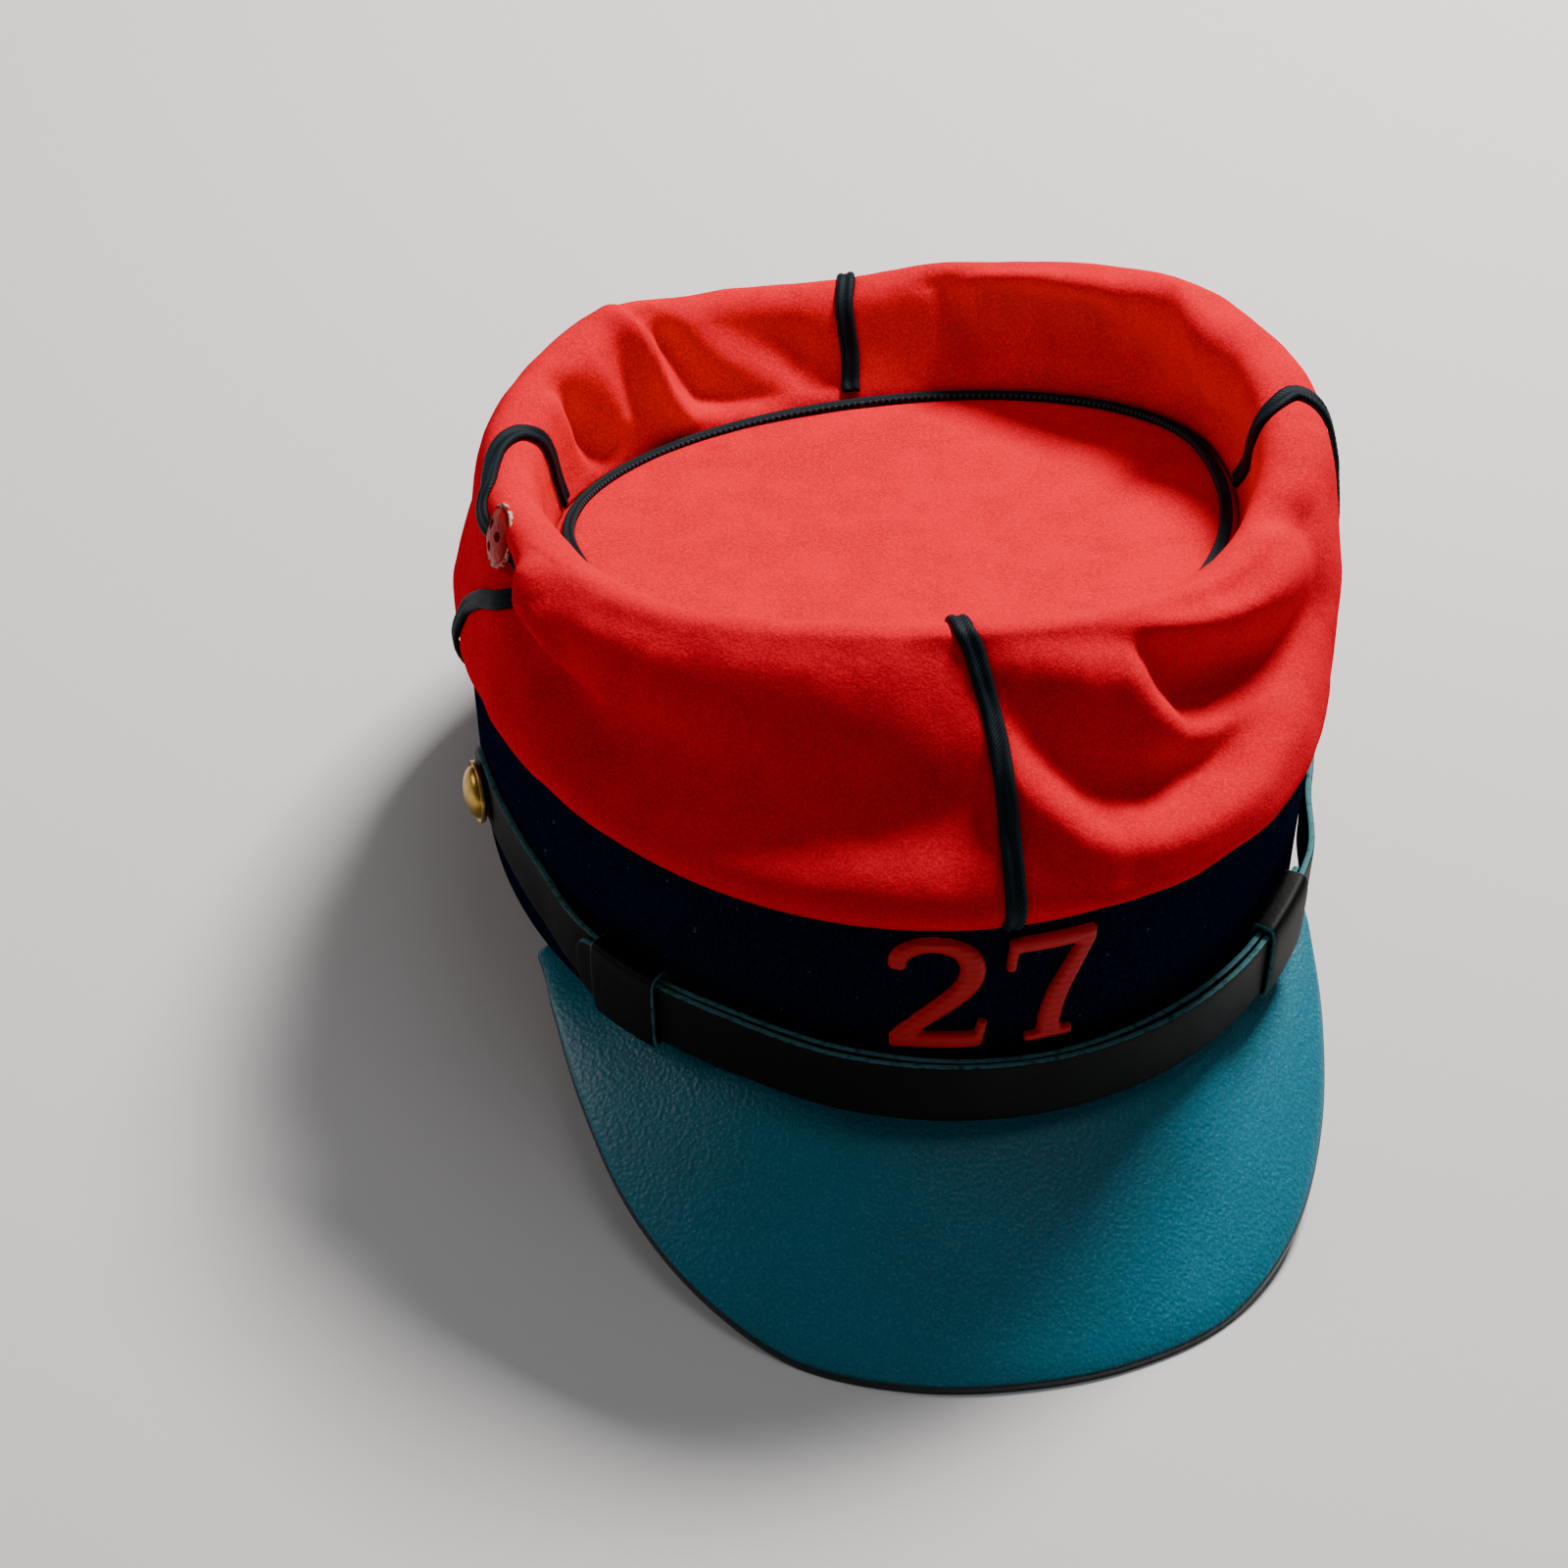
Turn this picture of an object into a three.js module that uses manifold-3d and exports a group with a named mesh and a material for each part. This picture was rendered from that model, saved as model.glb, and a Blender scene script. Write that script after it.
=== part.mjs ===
// A soldier's soft kepi with a collapsed crown, a stiff band, a chin strap in two layers and a leather
// visor. Millimetres, +Z up, visor towards -Y. Everything is built in the band's own frame (the band's lower
// edge is the plane z = 0) and the whole cap is then tipped back until it stands on its visor and its band.
import * as THREE from "three";
import Module from "manifold-3d";

// Joint clearance between neighbouring pieces
const GAP = 0.3;

// Band: an oval that is longer in front than behind and opens a little towards its top
const BAND = { halfWidth: 84, front: 106, back: 99, height: 45, flare: 2.5, thickness: 2.6 };

// Thickness of the crown's cloth
const CLOTH = 2;
// Half the share of the wall's height that the cloth's back is smoothed over, so that it rounds its bends
const CLOTH_REACH = 0.06;

// The oval that the top of the crown's rolled rim follows, and the sunken oval top
const CREST = { halfWidth: 79, front: 79, back: 82 };
const TOP = {
  halfWidth: 70.5,
  front: 79,
  back: 46,
  x: 3.7,
  y: 17.5,
  z: 62,
  rake: -0.07,
  roll: 0.03,
  yaw: 5,
};

// Crown wall by azimuth (degrees, 0 in front, positive to the wearer's left): how far the low bulge, the
// waist and the shoulder stand out, how far the crest is moved out, and the crest's height
const CROWN_SECTIONS = [
  { azimuth: -180, bulge: 2.0, waist: 0.0, shoulder: 5.0, crestOut: 0, crestZ: 79.0 },
  { azimuth: -160, bulge: 2.0, waist: 0.0, shoulder: 5.0, crestOut: 0, crestZ: 81.0 },
  { azimuth: -140, bulge: 2.2, waist: 0.0, shoulder: 5.0, crestOut: 0, crestZ: 86.0 },
  { azimuth: -120, bulge: 2.4, waist: -1.0, shoulder: 5.0, crestOut: 0, crestZ: 84.5 },
  { azimuth: -100, bulge: 2.6, waist: -2.5, shoulder: 4.5, crestOut: 0, crestZ: 83.5 },
  { azimuth: -80, bulge: 2.8, waist: -3.0, shoulder: 4.5, crestOut: 0, crestZ: 86.0 },
  { azimuth: -60, bulge: 3.0, waist: -2.0, shoulder: 5.0, crestOut: 0, crestZ: 86.0 },
  { azimuth: -40, bulge: 3.0, waist: -0.5, shoulder: 5.0, crestOut: 0, crestZ: 88.0 },
  { azimuth: -20, bulge: 2.8, waist: 0.5, shoulder: 5.0, crestOut: 0, crestZ: 91.5 },
  { azimuth: 0, bulge: 2.5, waist: 1.0, shoulder: 5.0, crestOut: 0, crestZ: 92.0 },
  { azimuth: 20, bulge: 2.4, waist: 0.5, shoulder: 5.0, crestOut: 0, crestZ: 89.5 },
  { azimuth: 40, bulge: 2.4, waist: 0.0, shoulder: 5.0, crestOut: 0, crestZ: 86.0 },
  { azimuth: 60, bulge: 2.0, waist: 0.0, shoulder: 5.5, crestOut: 1, crestZ: 87.0 },
  { azimuth: 80, bulge: 2.0, waist: 0.5, shoulder: 6.5, crestOut: 2, crestZ: 91.5 },
  { azimuth: 100, bulge: 2.0, waist: 1.0, shoulder: 6.5, crestOut: 2, crestZ: 94.0 },
  { azimuth: 120, bulge: 2.0, waist: 1.0, shoulder: 6.0, crestOut: 1, crestZ: 94.5 },
  { azimuth: 140, bulge: 2.0, waist: 0.5, shoulder: 5.0, crestOut: 0, crestZ: 89.0 },
  { azimuth: 160, bulge: 2.0, waist: 0.0, shoulder: 5.0, crestOut: 0, crestZ: 84.0 },
];

// Heights of the bulge and waist as shares of the wall, the drop from crest to shoulder, the rolled lip, and
// the bend inside the rim: its shares of the way from the top's edge out and up to the lip
const WALL = {
  bulgeAt: 0.16,
  waistAt: 0.5,
  waistLift: 3,
  shoulderDrop: 5,
  lipIn: 7,
  lipDrop: 3.2,
  basinOut: 0.45,
  basinRise: 0.4,
};

// How far the sunken top sags at a share of the way out from its middle, and its gap to the wall
const TOP_SAGS = [{ share: 0.35, sag: 1.8 }, { share: 0.7, sag: 1 }];
const TOP_GAP = 0.75;

// Folds of the crown cloth: a path of azimuth and place (0 at the band, about 0.57 on the crest, 1 at the
// sunken top), the half width across the fold, and its height (ridge) or depth (crease, negative)
const FOLDS = [
  { fold: "crease, left", path: [[-73, 0.345], [-62, 0.305], [-30, 0.285]], width: 6, height: -4.4 },
  { fold: "crease, middle", path: [[-30, 0.285], [-4, 0.27]], width: 6, height: -2.6 },
  { fold: "second crease, left", path: [[-58, 0.25], [-44, 0.23], [-28, 0.23]], width: 5, height: -1.8 },
  { fold: "swell under the creases", path: [[-74, 0.19], [-50, 0.165], [-12, 0.16]], width: 6, height: 1.8 },
  { fold: "drape beside the vent", path: [[-66, 0.47], [-64, 0.38]], width: 5, height: 3 },
  { fold: "pocket under the rim", path: [[26, 0.385], [34, 0.34], [50, 0.315]], width: 6, height: -6 },
  { fold: "rim over the pocket", path: [[28, 0.445], [54, 0.41]], width: 5.5, height: 2.4 },
  { fold: "lip of the pocket", path: [[23, 0.35], [31, 0.308], [46, 0.287]], width: 4.5, height: 2.6 },
  { fold: "second pocket", path: [[6, 0.345], [15, 0.28], [24, 0.26], [42, 0.26]], width: 6, height: -5.4 },
  { fold: "ridge under it", path: [[4, 0.3], [12, 0.23], [20, 0.2], [44, 0.21]], width: 5, height: 2.8 },
  { fold: "ridge, back left", path: [[-141, 0.66], [-143, 0.82], [-147, 0.95]], width: 5, height: 3.4 },
  { fold: "hollow, back left", path: [[-153, 0.74], [-157, 0.9]], width: 7, height: -3.6 },
  { fold: "fold, left of the ridge", path: [[-122, 0.72], [-126, 0.94]], width: 5, height: -2.4 },
  { fold: "hollow, back right", path: [[156, 0.82], [138, 0.79], [124, 0.86]], width: 7, height: -3.4 },
  { fold: "ridge, back right", path: [[116, 0.66], [104, 0.8]], width: 6, height: 2.6 },
  { fold: "dent in the right rim", path: [[60, 0.54], [62, 0.42]], width: 6, height: -2 },
];
// Millimetres for one degree round the crown and for the whole way up its wall, and the share of that way in
// which the folds die out at either end
const ARC_PER_DEGREE = 1.45;
const WALL_RUN = 95;
const FOLD_FADE = 0.08;

// Visor by azimuth: how far it reaches past the band, and how high its underside's edge lies above the plane
// that the cap stands on
const VISOR_SECTIONS = [
  { azimuth: -67, reach: 2, lift: 19.4 },
  { azimuth: -60, reach: 6.4, lift: 19.6 },
  { azimuth: -50, reach: 14.4, lift: 15.2 },
  { azimuth: -40, reach: 23.2, lift: 8.4 },
  { azimuth: -30, reach: 30.6, lift: 3.3 },
  { azimuth: -20, reach: 36.2, lift: 0 },
  { azimuth: -10, reach: 38.0, lift: 0 },
  { azimuth: 0, reach: 38.3, lift: 0 },
  { azimuth: 10, reach: 38.6, lift: 0 },
  { azimuth: 20, reach: 37.6, lift: 0 },
  { azimuth: 30, reach: 32.6, lift: 3.3 },
  { azimuth: 40, reach: 24.0, lift: 8.4 },
  { azimuth: 50, reach: 14.2, lift: 15.2 },
  { azimuth: 60, reach: 5.8, lift: 19.6 },
  { azimuth: 67, reach: 2, lift: 19.4 },
];
// The visor swells above the straight line from band to edge by `arch` times its reach, and its edge has a
// flat land underneath, of at most `landShare` of its reach
const VISOR = { thickness: 2, land: 3, landShare: 0.3, arch: 0.12, steps: 6, stepDegrees: 4 };

// Angle between the band's plane and the surface that the cap stands on: it stands on the visor's edge and
// on the lowest point of the band behind
const TIP_BACK = 8.8;

// Chin strap: the height of its lower edge above the band's lower edge, by azimuth
const STRAP_SECTIONS = [
  { azimuth: -88, low: 13 },
  { azimuth: -76, low: 12 },
  { azimuth: -62, low: 8.4 },
  { azimuth: -48, low: 6 },
  { azimuth: -33, low: 5.6 },
  { azimuth: -20, low: 3.4 },
  { azimuth: 0, low: 1.4 },
  { azimuth: 14, low: 0.8 },
  { azimuth: 40, low: 2 },
  { azimuth: 56, low: 7 },
  { azimuth: 75, low: 14.5 },
  { azimuth: 88, low: 20 },
];
// Its layers stand off the band between the sliders and come in to `endOff` between two azimuths towards
// each end. Both layers end a few degrees past a button or a slider.
const STRAP = { height: 13.6, thickness: 1.6, standOff: 1.8, endOff: 0.5, stepDegrees: 4 };
const STRAP_ENDS = { pastButton: 5, pastSlider: 8, comesInFrom: 57, comesInTo: 68 };

// Slider loops round both layers of the strap: where they sit, their width, leather and headroom
const SLIDER = { azimuth: 47, width: 14, thickness: 1.2, headroom: 1.3 };

// Side buttons, which hold the strap's ends; each stands off the curved strap by `off` at its middle
const BUTTON = { azimuth: 83, radius: 6.5, dome: 3.5, rim: 1.2, off: 0.6 };
const BUTTON_HEIGHTS = { left: 19.6, right: 27 };

// The crown wall's four seams, in the order of their azimuth on the band: the azimuth of each at places up
// the wall, and the stretch of it that its braid covers
const SEAMS = [
  {
    name: "left",
    from: 0.02,
    to: 0.93,
    stops: [
      { place: 0, azimuth: -87 },
      { place: 0.16, azimuth: -88.5 },
      { place: 0.24, azimuth: -86 },
      { place: 0.3, azimuth: -83 },
      { place: 0.36, azimuth: -87 },
      { place: 0.42, azimuth: -90 },
      { place: 0.5, azimuth: -92 },
      { place: 0.57, azimuth: -99 },
      { place: 0.65, azimuth: -105 },
      { place: 0.75, azimuth: -108 },
      { place: 1, azimuth: -108 },
    ],
  },
  {
    name: "front",
    from: 0.01,
    to: 0.93,
    stops: [
      { place: 0, azimuth: 1.5 },
      { place: 0.34, azimuth: 1.2 },
      { place: 0.56, azimuth: -1.5 },
      { place: 1, azimuth: -1.5 },
    ],
  },
  {
    name: "right",
    from: 0.02,
    to: 0.93,
    stops: [
      { place: 0, azimuth: 84 },
      { place: 0.45, azimuth: 84 },
      { place: 0.56, azimuth: 86 },
      { place: 0.66, azimuth: 84 },
      { place: 0.76, azimuth: 81.5 },
      { place: 0.9, azimuth: 82.5 },
      { place: 1, azimuth: 83 },
    ],
  },
  {
    name: "back",
    from: 0.02,
    to: 0.93,
    stops: [
      { place: 0, azimuth: 176 },
      { place: 0.62, azimuth: 176 },
      { place: 0.8, azimuth: 178 },
      { place: 1, azimuth: 181.5 },
    ],
  },
];
// Half the share of the wall's height over which a seam's direction is read
const SEAM_STEP = 0.02;

// The wall's four panels, each between two seams
const PANELS = ["panel_front_left", "panel_front_right", "panel_back_right", "panel_back_left"];

// Flat braid with two ridges: on the crown's four seams, and round the sunken top `inset` from its edge
const BRAID = { width: 4, height: 1.5, groove: 0.6, ridgeAt: 0.6, off: 0.5, inset: 1.5 };

// Vent grommet: a domed disc on the left of the wall
const GROMMET = { azimuth: -80, place: 0.43, radius: 6.5, dome: 2.4, rim: 0.8, off: 0.8 };

// Padded numerals on the band: strokes of x, z and width, measured from a numeral's lower left corner. A
// stroke's sides rise straight to `side` of its thickness, and its flat top has `crown` of its width.
const NUMERAL = { width: 19, low: 17.4, spacing: 21.6, thickness: 1.7, side: 0.5, crown: 0.6, step: 2 };
const DIGITS = {
  numeral_two: [
    [[1.6, 19.6, 3.4], [1.9, 22.4, 3.8], [5.2, 24.9, 3.6], [9.4, 25.2, 3.6], [13.6, 23.4, 4.2],
      [15.6, 19.6, 5], [14.8, 15.6, 5], [11.2, 11.4, 4.4], [6.6, 7.2, 3.8], [2.2, 2.9, 3.4]],
    [[0.4, 1.8, 3.4], [6, 2.1, 3.8], [11.5, 1.9, 4], [17.4, 1.9, 3.6]],
    [[16.9, 0.9, 2.2], [17.9, 6.6, 2]],
  ],
  numeral_seven: [
    [[1.6, 24, 3.6], [7, 24, 3.8], [12, 24, 3.8], [17.4, 24.1, 3.4]],
    [[1.7, 25.2, 2.2], [1.1, 18.2, 2]],
    [[16.2, 23.2, 3.4], [13.6, 17.6, 4], [10.8, 11.2, 4.6], [9.4, 5.4, 4.8], [9.2, 1.6, 4.8]],
    [[4.4, 1.1, 2.2], [9.2, 1.2, 2.2], [14, 1.1, 2.2]],
  ],
};

// Columns round the whole cap, columns of one panel, and rows up the crown wall
const COLUMNS = 64;
const PANEL_COLUMNS = 16;
const CROWN_ROWS = 18;

// Segments round a domed piece and steps up its dome
const ROUND_SEGMENTS = 20;
const DOME_STEPS = 3;

const radians = THREE.MathUtils.degToRad;
const wasm = await Module();
wasm.setup();

// A point of an oval with its own half length in front and behind, grown by `grow` on all sides
function ovalPoint(azimuth, oval, grow = 0) {
  const a = radians(azimuth);
  const half = Math.cos(a) > 0 ? oval.front : oval.back;
  return new THREE.Vector2((oval.halfWidth + grow) * Math.sin(a), -(half + grow) * Math.cos(a));
}

// Smooth interpolation through four neighbours
function blend(p0, p1, p2, p3, t) {
  return 0.5 * (2 * p1 + (p2 - p0) * t + (2 * p0 - 5 * p1 + 4 * p2 - p3) * t * t
    + (3 * p1 - p0 - 3 * p2 + p3) * t * t * t);
}

// One column of a table that goes all the way round, read at any azimuth
function aroundTable(table, column, azimuth) {
  const n = table.length;
  const place = (((azimuth + 180) % 360 + 360) % 360) / 360 * n;
  const i = Math.floor(place);
  const value = (k) => table[(i + k + n) % n][column];
  return blend(value(-1), value(0), value(1), value(2), place - i);
}

// One column of a table with two ends, read at any value of its `key` column between them
function alongTable(table, column, at, key = "azimuth") {
  let i = 0;
  while (i < table.length - 2 && at > table[i + 1][key]) i += 1;
  const value = (k) => table[Math.min(Math.max(i + k, 0), table.length - 1)][column];
  const span = table[i + 1][key] - table[i][key];
  const t = THREE.MathUtils.clamp((at - table[i][key]) / span, 0, 1);
  return blend(value(-1), value(0), value(1), value(2), t);
}

// The band's outer face, `off` millimetres proud of it
function bandPoint(azimuth, z, off = 0) {
  const p = ovalPoint(azimuth, BAND, off + BAND.flare * z / BAND.height);
  return new THREE.Vector3(p.x, p.y, z);
}

// The sunken top's plane and its edge
function topHeight(x, y) {
  return TOP.z + TOP.rake * (y - TOP.y) + TOP.roll * (x - TOP.x);
}

function topPoint(azimuth, share, lift) {
  const p = ovalPoint(azimuth - TOP.yaw, TOP).multiplyScalar(share);
  p.rotateAround(new THREE.Vector2(), radians(TOP.yaw));
  const x = p.x + TOP.x;
  const y = p.y + TOP.y;
  return new THREE.Vector3(x, y, topHeight(x, y) + lift);
}

// The points that one section of the crown wall passes through, from the band over the crest to the top
function crownSection(azimuth) {
  const read = (column) => aroundTable(CROWN_SECTIONS, column, azimuth);
  const crestZ = read("crestZ");
  const crestOut = read("crestOut");
  const rise = crestZ - BAND.height;
  const at = (p, z) => new THREE.Vector3(p.x, p.y, z);
  const foot = ovalPoint(azimuth, BAND, BAND.flare);
  const bulge = ovalPoint(azimuth, BAND, BAND.flare + read("bulge"));
  const shoulder = ovalPoint(azimuth, CREST, crestOut + read("shoulder"));
  const waist = foot.clone().lerp(shoulder, WALL.waistAt);
  waist.setLength(waist.length() + WALL.waistLift + read("waist"));
  const crest = ovalPoint(azimuth, CREST, crestOut);
  const lip = ovalPoint(azimuth, CREST, crestOut - WALL.lipIn);
  const lipZ = crestZ - WALL.lipDrop;
  const edge = topPoint(azimuth, 1, 0);
  const basin = new THREE.Vector2(edge.x, edge.y).lerp(lip, WALL.basinOut);
  return [
    at(foot, BAND.height + GAP),
    at(bulge, BAND.height + WALL.bulgeAt * rise),
    at(waist, BAND.height + WALL.waistAt * rise),
    at(shoulder, crestZ - WALL.shoulderDrop),
    at(crest, crestZ),
    at(lip, lipZ),
    at(basin, edge.z + WALL.basinRise * (lipZ - edge.z)),
    edge,
  ];
}

// The crown's face without its folds, at an azimuth and a place from 0 at the band to 1 at the top
function smoothCrown(azimuth, place) {
  const points = crownSection(azimuth);
  const s = THREE.MathUtils.clamp(place, 0, 1) * (points.length - 1);
  const i = Math.min(Math.floor(s), points.length - 2);
  const before = i > 0 ? points[i - 1] : points[0].clone().multiplyScalar(2).sub(points[1]);
  const last = points.length - 1;
  const after = i + 2 <= last ? points[i + 2] : points[last].clone().multiplyScalar(2).sub(points[last - 1]);
  const mix = (axis) => blend(before[axis], points[i][axis], points[i + 1][axis], after[axis], s - i);
  return new THREE.Vector3(mix("x"), mix("y"), mix("z"));
}

// The outward normal of a surface given as a function of azimuth and place, over `reach` of its height
function normalOf(surface, azimuth, place, reach = 0.01) {
  const low = Math.max(place - reach, 0);
  const high = Math.min(place + reach, 1);
  const round = surface(azimuth + 0.5, place).sub(surface(azimuth - 0.5, place));
  const up = surface(azimuth, high).sub(surface(azimuth, low));
  return round.cross(up).normalize();
}

// Height of all the folds together at one point of the crown
function foldHeight(azimuth, place) {
  let height = 0;
  for (const fold of FOLDS) {
    let nearest = Infinity;
    for (let i = 0; i + 1 < fold.path.length; i += 1) {
      const [azimuth0, place0] = fold.path[i];
      const [azimuth1, place1] = fold.path[i + 1];
      const turn = ((azimuth - azimuth0 + 540) % 360) - 180;
      const from = new THREE.Vector2(turn * ARC_PER_DEGREE, (place - place0) * WALL_RUN);
      const along = new THREE.Vector2((azimuth1 - azimuth0) * ARC_PER_DEGREE, (place1 - place0) * WALL_RUN);
      const t = THREE.MathUtils.clamp(from.dot(along) / along.lengthSq(), 0, 1);
      nearest = Math.min(nearest, from.distanceTo(along.multiplyScalar(t)));
    }
    height += fold.height * Math.exp(-((nearest / fold.width) ** 2));
  }
  const edgeFade = Math.min(1, place / FOLD_FADE, (1 - place) / FOLD_FADE);
  return height * edgeFade;
}

function crownPoint(azimuth, place) {
  const normal = normalOf(smoothCrown, azimuth, place);
  return smoothCrown(azimuth, place).addScaledVector(normal, foldHeight(azimuth, place));
}

// A closed body from a row of closed sections with the same number of points. A ring joins its last section
// to its first. An open run gets a cap at each end: a fan from its first point, or for a sheet, whose points
// go along its face and return along its back, a strip between the two.
function loft(sections, { ring = false, sheet = false } = {}) {
  const count = sections[0].length;
  const positions = sections.flat().flatMap((p) => [p.x, p.y, p.z]);
  const faces = [];
  const spans = ring ? sections.length : sections.length - 1;
  for (let i = 0; i < spans; i += 1) {
    const a = i * count;
    const b = ((i + 1) % sections.length) * count;
    for (let j = 0; j < count; j += 1) {
      const k = (j + 1) % count;
      faces.push(a + j, b + j, b + k, a + j, b + k, a + k);
    }
  }
  if (!ring) {
    const last = (sections.length - 1) * count;
    const cap = (a, b, c) => faces.push(a, b, c, last + a, last + c, last + b);
    for (let j = 1; !sheet && j + 1 < count; j += 1) cap(0, j, j + 1);
    for (let j = 0; sheet && j + 1 < count / 2; j += 1) {
      cap(j, j + 1, count - 2 - j);
      cap(j, count - 2 - j, count - 1 - j);
    }
  }
  return outward(positions, faces);
}

// A closed body from a pile of rings, with a point in the middle of its lowest and its highest ring
function pile(rings) {
  const count = rings[0].length;
  const middle = (ring) => ring.reduce((sum, p) => sum.add(p), new THREE.Vector3()).divideScalar(count);
  const points = [...rings.flat(), middle(rings[0]), middle(rings[rings.length - 1])];
  const faces = [];
  for (let i = 0; i + 1 < rings.length; i += 1) {
    for (let j = 0; j < count; j += 1) {
      const k = (j + 1) % count;
      const a = i * count;
      const b = a + count;
      faces.push(a + j, a + k, b + k, a + j, b + k, b + j);
    }
  }
  const last = (rings.length - 1) * count;
  for (let j = 0; j < count; j += 1) {
    const k = (j + 1) % count;
    faces.push(rings.length * count, k, j, rings.length * count + 1, last + j, last + k);
  }
  return outward(points.flatMap((p) => [p.x, p.y, p.z]), faces);
}

// An indexed geometry whose faces point out, turned round if its volume came out negative
function outward(positions, faces) {
  const geometry = new THREE.BufferGeometry();
  geometry.setAttribute("position", new THREE.Float32BufferAttribute(positions, 3));
  const corner = (i) => new THREE.Vector3().fromArray(positions, 3 * i);
  let volume = 0;
  for (let i = 0; i < faces.length; i += 3) {
    volume += corner(faces[i]).dot(corner(faces[i + 1]).cross(corner(faces[i + 2])));
  }
  if (volume < 0) {
    for (let i = 0; i < faces.length; i += 3) {
      [faces[i + 1], faces[i + 2]] = [faces[i + 2], faces[i + 1]];
    }
  }
  geometry.setIndex(faces);
  return geometry;
}

// Solids for joining, and back again
function solidOf(geometry) {
  const vertProperties = new Float32Array(geometry.getAttribute("position").array);
  const triVerts = new Uint32Array(geometry.getIndex().array);
  return new wasm.Manifold(new wasm.Mesh({ numProp: 3, vertProperties, triVerts }));
}

function geometryOf(solid) {
  const mesh = solid.getMesh();
  return outward(Array.from(mesh.vertProperties), Array.from(mesh.triVerts));
}

const cap = new THREE.Group();

function add(name, geometry, material) {
  geometry.computeVertexNormals();
  const mesh = new THREE.Mesh(geometry, material);
  mesh.name = name;
  cap.add(mesh);
}

function cloth(color) {
  return new THREE.MeshStandardMaterial({ color, roughness: 0.95, metalness: 0 });
}

const redWool = cloth(0xd92a2e);
const navyWool = cloth(0x0a1026);
const navyBraid = cloth(0x0c1420);
const redThread = cloth(0xc8242c);
const strapLeather = new THREE.MeshStandardMaterial({ color: 0x14191b, roughness: 0.45, metalness: 0 });
const visorLeather = new THREE.MeshStandardMaterial({ color: 0x17363d, roughness: 0.4, metalness: 0 });
const brass = new THREE.MeshStandardMaterial({ color: 0xb08d45, roughness: 0.35, metalness: 1 });
const redPaint = new THREE.MeshStandardMaterial({ color: 0xb5302c, roughness: 0.5, metalness: 0.2 });

const columnAzimuths = Array.from({ length: COLUMNS }, (_, i) => -180 + (i * 360) / COLUMNS);

function buildBand() {
  const heights = [0, BAND.height / 2, BAND.height];
  const section = (azimuth) => [
    ...heights.map((z) => bandPoint(azimuth, z)),
    ...heights.toReversed().map((z) => bandPoint(azimuth, z, -BAND.thickness)),
  ];
  add("band", loft(columnAzimuths.map(section), { ring: true }), navyWool);
}

// Azimuth of a seam at a place up the wall
function seamAzimuth(seam, place) {
  return alongTable(seam.stops, "azimuth", place, "place");
}

// A point of a seam, the crown's outward direction there, and the direction across the seam
function seamFrame(seam, place) {
  const onSeam = (at) => crownPoint(seamAzimuth(seam, at), at);
  const normal = normalOf(crownPoint, seamAzimuth(seam, place), place, CLOTH_REACH);
  const along = onSeam(place + SEAM_STEP).sub(onSeam(place - SEAM_STEP));
  return { middle: onSeam(place), normal, across: along.cross(normal).normalize() };
}

// Each panel of the crown's wall is one folded sheet: its face and, a cloth's thickness behind it, its back.
// Its two edges lie half the joint clearance to one side of its seams.
function buildPanels() {
  const places = Array.from({ length: CROWN_ROWS + 1 }, (_, i) => i / CROWN_ROWS);
  const sheet = (points) => {
    const back = points.map(({ face, normal }, j) => {
      const inward = j === 0 ? normal.clone().setZ(0).normalize() : normal;
      return face.clone().addScaledVector(inward, -CLOTH);
    });
    return [...points.map(({ face }) => face), ...back.toReversed()];
  };
  const besideSeam = (seam, side) => sheet(places.map((place) => {
    const { middle, normal, across } = seamFrame(seam, place);
    return { face: middle.addScaledVector(across, side * GAP / 2), normal };
  }));
  PANELS.forEach((name, i) => {
    const next = (i + 1) % SEAMS.length;
    const turn = next === 0 ? 360 : 0;
    const between = (share) => sheet(places.map((place) => {
      const end = seamAzimuth(SEAMS[next], place) + turn;
      const azimuth = THREE.MathUtils.lerp(seamAzimuth(SEAMS[i], place), end, share);
      return { face: crownPoint(azimuth, place), normal: normalOf(crownPoint, azimuth, place, CLOTH_REACH) };
    }));
    const inner = Array.from({ length: PANEL_COLUMNS - 1 }, (_, k) => between((k + 1) / PANEL_COLUMNS));
    const sections = [besideSeam(SEAMS[i], 1), ...inner, besideSeam(SEAMS[next], -1)];
    add(name, loft(sections, { sheet: true }), redWool);
  });
}

// The sunken top, a little lower in its middle, inside the wall's lower edge
function buildCrownTop() {
  const edge = { share: 1 - TOP_GAP / TOP.back, sag: 0 };
  const face = [...TOP_SAGS, edge];
  const rings = [
    ...face.map(({ share, sag }) => ({ share, lift: -CLOTH - sag })),
    ...face.toReversed().map(({ share, sag }) => ({ share, lift: -sag })),
  ];
  const ring = ({ share, lift }) => columnAzimuths.map((azimuth) => topPoint(azimuth, share, lift));
  add("crown_top", pile(rings.map(ring)), redWool);
}

// The braid's section, from the bottom of its groove round over its flat back
function braidProfile() {
  const half = BRAID.width / 2;
  const ridge = half * BRAID.ridgeAt;
  return [
    [0, BRAID.height - BRAID.groove], [-ridge, BRAID.height], [-half, 0], [half, 0], [ridge, BRAID.height],
  ];
}

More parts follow.
